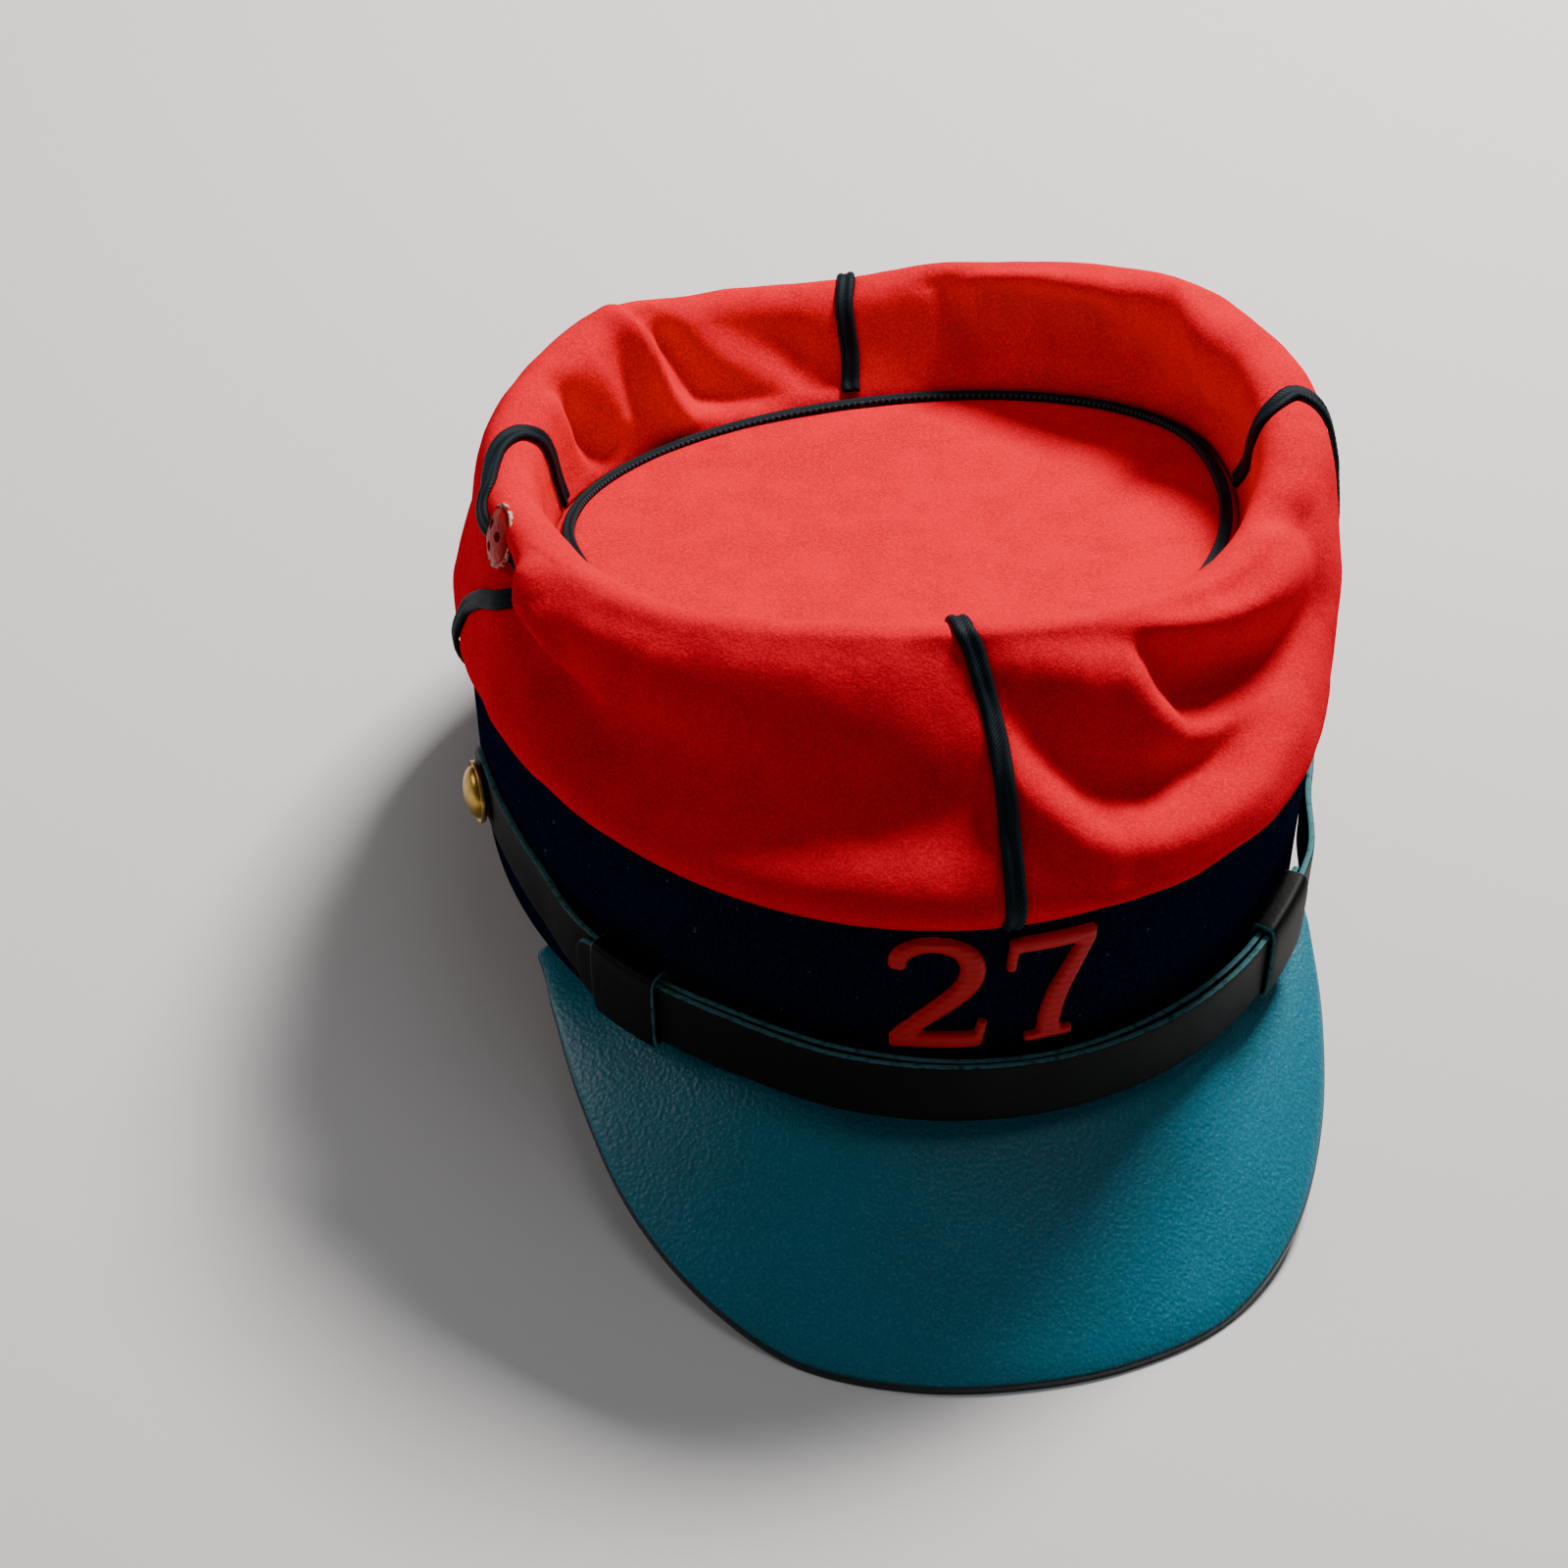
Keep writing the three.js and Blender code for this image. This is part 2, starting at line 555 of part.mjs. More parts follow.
// Braid up the seams of the crown, laid on the wall
function buildBraids() {
  SEAMS.forEach((seam, i) => {
    const sections = [];
    for (let row = Math.ceil(seam.from * CROWN_ROWS); row <= seam.to * CROWN_ROWS; row += 1) {
      const { middle, normal, across } = seamFrame(seam, row / CROWN_ROWS);
      sections.push(braidProfile().map(([x, y]) => middle.clone()
        .addScaledVector(across, x)
        .addScaledVector(normal, y + BRAID.off)));
    }
    const before = PANELS[(i + PANELS.length - 1) % PANELS.length];
    add(`braid_${seam.name}`, clearOf(loft(sections), before, PANELS[i]), navyBraid);
  });
}

// Braid round the sunken top, lying in its corner with the wall
function buildTopBraid() {
  const inset = (BRAID.width / 2 + BRAID.inset) / TOP.back;
  const sections = columnAzimuths.map((azimuth) => {
    const middle = topPoint(azimuth, 1 - inset, 0);
    const outer = topPoint(azimuth, 1, 0);
    const across = outer.sub(middle).setZ(0).normalize();
    return braidProfile().map(([x, y]) => middle.clone()
      .addScaledVector(across, x)
      .setZ(topHeight(middle.x, middle.y) + y + GAP));
  });
  add("top_braid", clearOf(loft(sections, { ring: true }), ...PANELS, "crown_top"), navyBraid);
}

// A piece laid on cloth, trimmed where the cloth's folds would come closer to it than the joint clearance
function clearOf(geometry, ...names) {
  let solid = solidOf(geometry);
  for (const name of names) {
    const other = cap.getObjectByName(name);
    for (const shift of trimShifts()) {
      solid = solid.subtract(solidOf(other.geometry).translate(shift.toArray()));
    }
  }
  const parts = solid.decompose();
  parts.sort((a, b) => b.volume() - a.volume());
  return geometryOf(parts[0]);
}

// Small moves along the axes that grow a neighbour by the joint clearance
function trimShifts() {
  const axes = [[1, 0, 0], [-1, 0, 0], [0, 1, 0], [0, -1, 0], [0, 0, 1], [0, 0, -1]];
  return axes.map((axis) => new THREE.Vector3(...axis).multiplyScalar(GAP));
}

// A stamped dome on a short rim, turned about an outward direction and seated at a place
function domed({ radius, rim, dome }, seat, direction) {
  const arc = Array.from({ length: DOME_STEPS }, (_, i) => {
    const a = (Math.PI / 2) * (i / DOME_STEPS);
    return new THREE.Vector2(radius * Math.cos(a), rim + (dome - rim) * Math.sin(a));
  });
  const foot = [new THREE.Vector2(0, 0), new THREE.Vector2(radius, 0)];
  const profile = [...foot, ...arc, new THREE.Vector2(0, dome)];
  const geometry = new THREE.LatheGeometry(profile, ROUND_SEGMENTS);
  const turn = new THREE.Quaternion().setFromUnitVectors(new THREE.Vector3(0, 1, 0), direction);
  return geometry.applyQuaternion(turn).translate(seat.x, seat.y, seat.z);
}

function buildGrommet() {
  const normal = normalOf(crownPoint, GROMMET.azimuth, GROMMET.place);
  const seat = crownPoint(GROMMET.azimuth, GROMMET.place).addScaledVector(normal, GROMMET.off);
  add("vent_grommet", domed(GROMMET, seat, normal), redPaint);
}

// The visor's own line outward and down at one azimuth: from the band to its edge, upper and lower face
function buildVisor() {
  const slope = Math.tan(radians(TIP_BACK));
  const first = VISOR_SECTIONS[0].azimuth;
  const last = VISOR_SECTIONS[VISOR_SECTIONS.length - 1].azimuth;
  const count = Math.round((last - first) / VISOR.stepDegrees);
  const sections = [];
  for (let i = 0; i <= count; i += 1) {
    const azimuth = first + ((last - first) * i) / count;
    const reach = alongTable(VISOR_SECTIONS, "reach", azimuth);
    const lift = Math.max(alongTable(VISOR_SECTIONS, "lift", azimuth), 0);
    const inner = bandPoint(azimuth, 0);
    const away = bandPoint(azimuth, 0, 1).sub(inner).normalize();
    const onFloor = (p) => -(BAND.back - p.y) * slope;
    const edge = inner.clone().addScaledVector(away, reach);
    edge.z = onFloor(edge) + lift;
    const landReach = Math.min(VISOR.land, reach * VISOR.landShare);
    const land = inner.clone().addScaledVector(away, reach - landReach);
    land.z = onFloor(land) + lift;
    const root = inner.clone().setZ(-GAP - VISOR.thickness);
    const under = [];
    for (let k = 0; k < VISOR.steps; k += 1) {
      const share = k / VISOR.steps;
      const p = root.clone().lerp(land, share);
      p.z += VISOR.arch * reach * share * (1 - share);
      under.push(p);
    }
    under.push(land, edge);
    const over = under.map((p) => p.clone().setZ(p.z + VISOR.thickness));
    sections.push([...under, ...over.toReversed()]);
  }
  add("visor", loft(sections, { sheet: true }), visorLeather);
}

function strapRun(from, to, offAt) {
  const count = Math.max(2, Math.round((to - from) / STRAP.stepDegrees));
  const sections = [];
  for (let i = 0; i <= count; i += 1) {
    const azimuth = from + ((to - from) * i) / count;
    const low = alongTable(STRAP_SECTIONS, "low", azimuth);
    const off = offAt(azimuth);
    const high = low + STRAP.height;
    sections.push([
      bandPoint(azimuth, low, off),
      bandPoint(azimuth, low, off + STRAP.thickness),
      bandPoint(azimuth, high, off + STRAP.thickness),
      bandPoint(azimuth, high, off),
    ]);
  }
  return loft(sections);
}

// Each strap starts under one side button and ends past the slider on the other side; the right one lies
// over the left one in front
function buildStraps() {
  const end = BUTTON.azimuth + STRAP_ENDS.pastButton;
  const reach = SLIDER.azimuth + STRAP_ENDS.pastSlider;
  const comesIn = (standOff) => (azimuth) => {
    const share = THREE.MathUtils.smoothstep(azimuth, STRAP_ENDS.comesInFrom, STRAP_ENDS.comesInTo);
    return THREE.MathUtils.lerp(standOff, STRAP.endOff, share);
  };
  const under = comesIn(STRAP.standOff);
  const over = comesIn(STRAP.standOff + STRAP.thickness + GAP);
  add("strap_under", strapRun(-end, reach, (azimuth) => under(-azimuth)), strapLeather);
  add("strap_over", strapRun(-reach, end, over), strapLeather);
}

// A slider is a band of leather wrapped round both layers of the strap
function buildSlider(name, azimuth) {
  const halfSpan = THREE.MathUtils.radToDeg(SLIDER.width / 2 / BAND.halfWidth);
  const low = alongTable(STRAP_SECTIONS, "low", azimuth) - SLIDER.headroom;
  const high = low + STRAP.height + 2 * SLIDER.headroom;
  const t = SLIDER.thickness;
  const inside = STRAP.standOff - GAP - t;
  const outside = STRAP.standOff + 2 * STRAP.thickness + 2 * GAP;
  const corners = [
    { z: low, off: inside + t, z2: low - t, off2: inside },
    { z: low, off: outside, z2: low - t, off2: outside + t },
    { z: high, off: outside, z2: high + t, off2: outside + t },
    { z: high, off: inside + t, z2: high + t, off2: inside },
  ];
  const across = [-1, 0, 1].map((k) => azimuth + k * halfSpan);
  const lean = (at) => alongTable(STRAP_SECTIONS, "low", at) - alongTable(STRAP_SECTIONS, "low", azimuth);
  const sections = corners.map((c) => [
    ...across.map((at) => bandPoint(at, c.z + lean(at), c.off)),
    ...across.toReversed().map((at) => bandPoint(at, c.z2 + lean(at), c.off2)),
  ]);
  add(name, loft(sections, { ring: true }), strapLeather);
}

function buildButton(name, azimuth, height) {
  const seat = bandPoint(azimuth, height, STRAP.endOff + STRAP.thickness + BUTTON.off);
  const direction = seat.clone().sub(bandPoint(azimuth, height)).normalize();
  add(name, domed(BUTTON, seat, direction), brass);
}

// A padded stroke: a flat-backed strip along a path on the band, narrower on top
function stroke(path, left) {
  const curve = new THREE.CatmullRomCurve3(path.map(([x, z, width]) => new THREE.Vector3(x, z, width)));
  const count = Math.max(2, Math.round(curve.getLength() / NUMERAL.step));
  const perDegree = radians(BAND.halfWidth + BAND.flare);
  const side = GAP + NUMERAL.thickness * NUMERAL.side;
  const top = GAP + NUMERAL.thickness;
  const sections = curve.getPoints(count).map((p, i) => {
    const tangent = curve.getTangent(i / count).setZ(0).normalize();
    const half = p.z / 2;
    const crown = half * NUMERAL.crown;
    const corners = [[-half, GAP], [half, GAP], [half, side], [crown, top], [-crown, top], [-half, side]];
    return corners.map(([across, off]) => {
      const x = left + p.x - tangent.y * across;
      return bandPoint(x / perDegree, NUMERAL.low + p.y + tangent.x * across, off);
    });
  });
  return solidOf(loft(sections));
}

function buildNumerals() {
  const names = Object.keys(DIGITS);
  names.forEach((name, i) => {
    const middle = (i - (names.length - 1) / 2) * NUMERAL.spacing;
    const left = middle - NUMERAL.width / 2;
    const joined = DIGITS[name].map((path) => stroke(path, left)).reduce((sum, next) => sum.add(next));
    add(name, geometryOf(joined), redThread);
  });
}

buildBand();
buildPanels();
buildCrownTop();
buildBraids();
buildTopBraid();
buildGrommet();
buildVisor();
buildStraps();
buildSlider("slider_left", -SLIDER.azimuth);
buildSlider("slider_right", SLIDER.azimuth);
buildButton("button_left", -BUTTON.azimuth, BUTTON_HEIGHTS.left);
buildButton("button_right", BUTTON.azimuth, BUTTON_HEIGHTS.right);
buildNumerals();

// Tip the cap back on to its visor, and put the origin under the middle of its box
cap.rotation.x = -radians(TIP_BACK);
cap.updateMatrixWorld(true);
const box = new THREE.Box3().setFromObject(cap, true);
cap.position.set(-(box.min.x + box.max.x) / 2, -(box.min.y + box.max.y) / 2, -box.min.z);

const kepi = new THREE.Group();
kepi.add(cap);
export default kepi;
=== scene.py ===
"""Looks of a soldier's soft kepi: a red crown fallen in on itself, a dark band, a chin strap and a visor.

Shapes are worked out in the band's own frame, in millimetres, with the visor towards -Y and the band's
lower edge in the plane z = 0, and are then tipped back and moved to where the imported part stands.
"""

import logging
import math
from dataclasses import dataclass
from enum import Enum
from typing import Callable

import bmesh
import bpy
import numpy as np
from mathutils import Matrix, Vector, noise

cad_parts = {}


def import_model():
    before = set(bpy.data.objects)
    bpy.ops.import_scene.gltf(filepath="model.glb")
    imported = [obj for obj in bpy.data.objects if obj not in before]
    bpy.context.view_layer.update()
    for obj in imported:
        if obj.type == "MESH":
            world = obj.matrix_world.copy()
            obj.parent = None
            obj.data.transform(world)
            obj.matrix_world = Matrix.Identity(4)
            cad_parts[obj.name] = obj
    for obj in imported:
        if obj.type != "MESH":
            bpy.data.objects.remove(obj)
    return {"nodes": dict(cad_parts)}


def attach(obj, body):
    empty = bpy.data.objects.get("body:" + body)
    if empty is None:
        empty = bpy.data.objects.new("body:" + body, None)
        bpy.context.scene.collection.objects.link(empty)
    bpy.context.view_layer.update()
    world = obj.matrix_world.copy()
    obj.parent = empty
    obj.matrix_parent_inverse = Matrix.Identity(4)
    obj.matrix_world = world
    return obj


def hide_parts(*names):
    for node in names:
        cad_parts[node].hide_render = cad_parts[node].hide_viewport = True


Array = np.ndarray
Surface = Callable[[Array, Array], Array]
Mark = Callable[[Array, Array], Array]
Inputs = dict[str | int, object]

log = logging.getLogger("kepi")


# Placing and smooth tables


@dataclass(frozen=True)
class BandFrame:
    """The band's own frame: how far the cap is tipped back, and where its origin stands."""

    tip_back: float = 8.8
    origin: tuple[float, float, float] = (-0.6142, 18.343, 15.1456)

    def turn(self) -> Matrix:
        """The cap's tilt."""
        return Matrix.Rotation(-math.radians(self.tip_back), 4, "X")

    def world(self, points: Array) -> Array:
        """Takes points of the band's frame to the part's own frame.

        Args:
            points: Places in millimetres, one to a row.

        Returns:
            Places in metres, one to a row.
        """
        turn = np.array(self.turn().to_3x3())
        return (points @ turn.T + np.array(self.origin)) / 1000

    def matrix(self, place: Array, outward: Array) -> Matrix:
        """Seats a turned piece, whose own axis is +Z and whose size is in millimetres.

        Args:
            place: Where its foot sits, in the band's frame.
            outward: The direction that it faces there.

        Returns:
            The matrix that takes it to the part's frame.
        """
        facing = Vector(outward).to_track_quat("Z", "Y").to_matrix().to_4x4()
        seat = Matrix.Translation(Vector(place)) @ facing
        home = Matrix.Translation(Vector(self.origin)) @ self.turn()
        return Matrix.Scale(0.001, 4) @ home @ seat


FRAME = BandFrame()


def blend(p0: Array, p1: Array, p2: Array, p3: Array, t: Array) -> Array:
    """Smooth interpolation between the two middle ones of four neighbours."""
    return 0.5 * (2 * p1 + (p2 - p0) * t + (2 * p0 - 5 * p1 + 4 * p2 - p3) * t * t
                  + (3 * p1 - p0 - 3 * p2 + p3) * t**3)


def smooth_step(low: float, high: float, value: Array) -> Array:
    """Eases from 0 at low to 1 at high."""
    t = np.clip((value - low) / (high - low), 0, 1)
    return t * t * (3 - 2 * t)


def around(values: Array, azimuth: Array) -> Array:
    """Reads values that stand evenly all the way round.

    Args:
        values: The values, the first of them at -180 degrees.
        azimuth: Where they are wanted.

    Returns:
        The smoothly joined values there.
    """
    n = len(values)
    place = np.mod(azimuth + 180, 360) / 360 * n
    i = np.floor(place).astype(int)
    return blend(values[(i - 1) % n], values[i % n], values[(i + 1) % n], values[(i + 2) % n], place - i)


def along(stops: Array, values: Array, at: Array) -> Array:
    """Reads values that stand at stops.

    Args:
        stops: Where the values stand, rising.
        values: The value at each stop.
        at: Where they are wanted; past either end it is the end's value.

    Returns:
        The smoothly joined values there.
    """
    i = np.clip(np.searchsorted(stops, at, side="left") - 1, 0, len(stops) - 2)
    t = np.clip((at - stops[i]) / (stops[i + 1] - stops[i]), 0, 1)
    last = len(stops) - 1
    return blend(values[np.maximum(i - 1, 0)], values[i], values[i + 1], values[np.minimum(i + 2, last)], t)


def column(rows: tuple, name: str) -> Array:
    """One column of a table."""
    return np.array([getattr(row, name) for row in rows], float)


def along_table(rows: tuple, name: str, azimuth: Array) -> Array:
    """Reads one column of a table whose rows stand at rising azimuths."""
    return along(column(rows, "azimuth"), column(rows, name), azimuth)


def unit(vectors: Array) -> Array:
    """Scales each row to length 1."""
    return vectors / np.linalg.norm(vectors, axis=-1, keepdims=True)


def ripple(points: Array, size: float, seed: float) -> Array:
    """Smooth seeded unevenness, about -1 to 1, whose bumps are size millimetres across."""
    return np.array([noise.noise(Vector(p) / size + Vector((seed, -seed, 2 * seed))) for p in points])


def ripples(points: Array, waves: tuple[tuple[float, float, float], ...]) -> Array:
    """Adds up unevenness of several sizes, each with its height, the size of its bumps and its seed."""
    return sum(height * ripple(points, size, seed) for height, size, seed in waves)


def soft_box(turns: Array, half_width: float, half_height: float, squareness: float) -> tuple[Array, Array]:
    """A rectangle with soft corners, as a closed curve.

    Args:
        turns: Where on the curve, from 0 to 1.
        half_width: Half its width.
        half_height: Half its height.
        squareness: 2 for an oval, and more for tighter corners.

    Returns:
        The two coordinates, with the curve starting at its right end.
    """
    turns = np.mod(turns, 1)
    c, s = np.cos(2 * np.pi * turns), np.sin(2 * np.pi * turns)
    power = 2 / squareness
    return half_width * np.sign(c) * np.abs(c) ** power, half_height * np.sign(s) * np.abs(s) ** power


# Making meshes


def piece_from(bm: bmesh.types.BMesh, name: str) -> bpy.types.Object:
    """Shades a finished bmesh smooth and puts it in the scene.

    Args:
        bm: The mesh, in metres in the part's frame. It is freed.
        name: The piece's name.

    Returns:
        The new object, which sits at the origin.
    """
    for face in bm.faces:
        face.smooth = True
    mesh = bpy.data.meshes.new(name)
    bm.to_mesh(mesh)
    bm.free()
    piece = bpy.data.objects.new(name, mesh)
    bpy.context.scene.collection.objects.link(piece)
    return piece


def bent_grid(
    name: str,
    columns: int,
    rows: int,
    surface: Surface,
    size: tuple[float, float],
    closed: bool = False,
    marks: dict[str, Mark] | None = None,
) -> bpy.types.Object:
    """Bends a flat grid on to a surface and closes the seams where its edges meet.

    Args:
        name: The piece's name.
        columns: Steps along the surface's first parameter.
        rows: Steps along its second parameter.
        surface: Gives the place in the band's frame of each pair of parameters, both from 0 to 1.
        size: What the two parameters measure in millimetres, for the pattern of its finish.
        closed: Whether it is a tube or ring, whose open ends are filled and whose faces are turned out.
        marks: Named amounts that the finish reads, each worked out from the two parameters.

    Returns:
        The new object.
    """
    bm = bmesh.new()
    bmesh.ops.create_grid(bm, x_segments=columns, y_segments=rows, size=0.5)
    u = np.round([v.co.x + 0.5 for v in bm.verts], 6)
    w = np.round([v.co.y + 0.5 for v in bm.verts], 6)
    uv = bm.loops.layers.uv.new("UVMap")
    for face in bm.faces:
        for loop in face.loops:
            co = loop.vert.co
            loop[uv].uv = ((co.x + 0.5) * size[0] / 1000, (co.y + 0.5) * size[1] / 1000)
    for mark, amount in (marks or {}).items():
        layer = bm.verts.layers.float.new(mark)
        for vert, value in zip(bm.verts, amount(u, w)):
            vert[layer] = value
    for vert, place in zip(bm.verts, FRAME.world(surface(u, w))):
        vert.co = place
    bmesh.ops.remove_doubles(bm, verts=bm.verts, dist=1e-6)
    if closed:
        edges = [edge for edge in bm.edges if edge.is_boundary]
        if edges:
            bmesh.ops.holes_fill(bm, edges=edges, sides=0)
        bmesh.ops.recalc_face_normals(bm, faces=bm.faces)
    return piece_from(bm, name)


def thicken(piece: bpy.types.Object, millimetres: float) -> None:
    """Gives a sheet of cloth its thickness, on its inner side."""
    wall = piece.modifiers.new("cloth", "SOLIDIFY")
    wall.thickness = millimetres / 1000
    wall.offset = -1


def turned(name: str, profile: list[tuple[float, float]], steps: int, shape: Callable[[Vector], None] | None,
           matrix: Matrix, marks: dict[str, Callable[[Vector], float]] | None = None) -> bpy.types.Object:
    """Spins a profile round its axis.

    Args:
        name: The piece's name.
        profile: Radius and height of its points in millimetres, starting and ending on the axis.
        steps: Steps round the axis.
        shape: Moves a point of the spun shape, or None.
        matrix: Takes it to the part's frame.
        marks: Named amounts that the finish reads, each worked out from a point of the spun shape.

    Returns:
        The new object.
    """
    bm = bmesh.new()
    verts = [bm.verts.new((radius, 0, height)) for radius, height in profile]
    edges = [bm.edges.new(pair) for pair in zip(verts, verts[1:])]
    bmesh.ops.spin(bm, geom=verts + edges, cent=(0, 0, 0), axis=(0, 0, 1), angle=2 * math.pi, steps=steps,
                   use_merge=True)
    bmesh.ops.remove_doubles(bm, verts=bm.verts, dist=1e-4)
    for mark, amount in (marks or {}).items():
        layer = bm.verts.layers.float.new(mark)
        for vert in bm.verts:
            vert[layer] = amount(vert.co)
    if shape:
        for vert in bm.verts:
            shape(vert.co)
    bmesh.ops.recalc_face_normals(bm, faces=bm.faces)
    bmesh.ops.transform(bm, matrix=matrix, verts=bm.verts)
    return piece_from(bm, name)


# Finishes


def linear(code: str) -> tuple[float, float, float, float]:
    """Turns an sRGB hex colour into the linear colour that a shader takes."""
    parts = [int(code[i:i + 2], 16) / 255 for i in (1, 3, 5)]
    return (*[c / 12.92 if c <= 0.04045 else ((c + 0.055) / 1.055) ** 2.4 for c in parts], 1.0)


def per_metre(millimetres: float) -> float:
    """The texture scale at which one pattern cell measures so many millimetres."""
    return 1000 / millimetres


def wave_scale(millimetres: float, speed: int) -> float:
    """The scale of a wave texture with bands so far apart; speed is 10 for slanted bands, 20 for level ones."""
    return 2 * math.pi * per_metre(millimetres) / speed


def feed(tree: bpy.types.NodeTree, node: bpy.types.Node, inputs: Inputs) -> None:
    """Sets or links a node's inputs.

    Args:
        tree: The material's nodes.
        node: One of them.
        inputs: For each input's name or number a value, a hex colour, or the output socket that feeds it.
    """
    for key, value in inputs.items():
        if isinstance(value, bpy.types.NodeSocket):
            tree.links.new(value, node.inputs[key])
        else:
            node.inputs[key].default_value = linear(value) if isinstance(value, str) else value


def add_node(tree: bpy.types.NodeTree, kind: str, out: str | int, inputs: Inputs | None = None,
             **settings: object) -> bpy.types.NodeSocket:
    """Adds one node with its settings, values and links.

    Args:
        tree: The material's nodes.
        kind: The node's type name, without the ShaderNode in front.
        out: The name or number of the output that is wanted.
        inputs: What its inputs take, as for feed.
        settings: The node's own properties.

    Returns:
        That output.
    """
    made = tree.nodes.new(f"ShaderNode{kind}")
    for key, value in settings.items():
        setattr(made, key, value)
    feed(tree, made, inputs or {})
    return made.outputs[out]


@dataclass(frozen=True)
class Finish:
    """What every finish shares: its name, a slot name, and its shader."""

    name: str
    slot: str

    def paint(self, tree: bpy.types.NodeTree) -> Inputs:
        """Adds this finish's nodes and says what its shader takes; each kind of finish has its own."""
        raise NotImplementedError

    def make(self) -> bpy.types.Material:
        """Builds the material, once for all pieces that share it."""
        found = bpy.data.materials.get(self.name)
        if found:
            return found
        material = bpy.data.materials.new(self.name)
        material.use_nodes = True
        tree = material.node_tree
        feed(tree, tree.nodes["Principled BSDF"], self.paint(tree))
        return material


@dataclass(frozen=True)
class MilledWool(Finish):
    """Woollen cloth, woven and then milled until its weave is gone: matt, with a short nap that lights up."""

    face: str = "#d00020"
    deep: str = "#900012"
    # tip is the colour of the nap's tips, painted brighter as a highlight of light caught by the nap; it also tints
    # the sheen
    tip: str = "#ee0c2c"
    dust: str = "#8d93a8"
    sheen: float = 0.02
    lint: float = 0.0
    # The hairs are about 0.05 mm thick, so the nap is drawn as tufts of 0.55 mm to show at all
    nap: float = 0.55
    mottle: float = 9.0
    speck: float = 1.6
    felting: float = 3.2
    height: float = 0.3

    def paint(self, tree: bpy.types.NodeTree) -> Inputs:
        """Mottled cloth colour, nap tips painted brighter as a highlight, stray lint and a felted bump."""
        at = add_node(tree, "TexCoord", "Object")
        tufts = add_node(tree, "TexNoise", "Fac", {
            "Vector": at, "Scale": per_metre(self.nap), "Detail": 4.0, "Roughness": 0.65})
        patches = add_node(tree, "TexNoise", "Fac", {"Vector": at, "Scale": per_metre(self.mottle), "Detail": 3.0})
        amount = add_node(tree, "MapRange", 0, {
            "Value": patches, "From Min": 0.3, "From Max": 0.75, "To Min": 0.0, "To Max": 0.35})
        cloth = add_node(tree, "Mix", 2, {0: amount, 6: self.face, 7: self.deep}, data_type="RGBA")
        # Painted highlight: the tufts are mixed towards the brighter tip colour
        lit = add_node(tree, "MapRange", 0, {
            "Value": tufts, "From Min": 0.42, "From Max": 0.7, "To Min": 0.0, "To Max": 0.9})
        nap_with_highlight = add_node(tree, "Mix", 2, {0: lit, 6: cloth, 7: self.tip}, data_type="RGBA")
        specks = add_node(tree, "TexNoise", "Fac", {"Vector": at, "Scale": per_metre(self.speck), "Detail": 1.0})
        caught = add_node(tree, "MapRange", 0, {
            "Value": specks, "From Min": 0.74, "From Max": 0.8, "To Min": 0.0, "To Max": self.lint})
        felt = add_node(tree, "TexNoise", "Fac", {"Vector": at, "Scale": per_metre(self.felting), "Detail": 2.0})
        relief = add_node(tree, "Math", 0, {0: tufts, 1: 0.6, 2: felt}, operation="MULTIPLY_ADD")
        return {
            "Base Color": add_node(tree, "Mix", 2, {0: caught, 6: nap_with_highlight, 7: self.dust}, data_type="RGBA"),
            "Normal": add_node(tree, "Bump", 0, {
                "Strength": 0.6, "Distance": self.height / 1000, "Height": relief}),
            "Roughness": 0.92, "Specular IOR Level": 0.0,
            "Sheen Weight": self.sheen, "Sheen Roughness": 0.45, "Sheen Tint": self.tip}


@dataclass(frozen=True)
class FlatBraid(Finish):
    """Flat worsted braid, woven over two cords: dark, with a slight gloss on its ridges that is painted in as a
    lighter ridge colour.
    """

    face: str = "#010508"
    # ridge is a lighter colour for the cord tops, a painted highlight along the strands
    ridge: str = "#0a2029"
    stitch: str = "#35494f"
    gloss: str = "#5d7f8a"
    # Strands are about 0.4 mm apart, drawn at 0.86 mm so that they show
    strand: float = 0.86359
    stitch_step: float = 1.4
    stitch_length: float = 0.45

    def paint(self, tree: bpy.types.NodeTree) -> Inputs:
        """Slanted strands over two ridges, lighter along the ridge tops as a painted highlight, and the small pale
        stitches that hold the braid.
        """
        at = add_node(tree, "TexCoord", "UV")
        strands = add_node(tree, "TexWave", "Fac", {
            "Vector": at, "Scale": wave_scale(self.strand, 10), "Distortion": 0.6, "Detail": 1.0},
            bands_direction="DIAGONAL")
        # Painted highlight: the ridge tops are mixed towards the lighter ridge colour
        ridge_highlight = add_node(tree, "Attribute", "Fac", attribute_name="ridge")
        amount = add_node(tree, "Math", 0, {0: strands, 1: ridge_highlight}, operation="MULTIPLY")
        cloth = add_node(tree, "Mix", 2, {0: amount, 6: self.face, 7: self.ridge}, data_type="RGBA")
        length = add_node(tree, "SeparateXYZ", 0, {0: at})
        steps = add_node(tree, "Math", 0, {0: length, 1: self.stitch_step / 1000}, operation="MODULO")
        near = add_node(tree, "Math", 0, {0: steps, 1: self.stitch_length / 1000}, operation="LESS_THAN")
        edge = add_node(tree, "Attribute", "Fac", attribute_name="edge")
        dots = add_node(tree, "Math", 0, {0: near, 1: edge}, operation="MULTIPLY")
        return {
            "Base Color": add_node(tree, "Mix", 2, {0: dots, 6: cloth, 7: self.stitch}, data_type="RGBA"),
            "Normal": add_node(tree, "Bump", 0, {"Strength": 0.4, "Distance": 0.00015, "Height": strands}),
            "Roughness": 0.6, "Specular IOR Level": 0.1, "Sheen Weight": 0.04, "Sheen Tint": self.gloss}


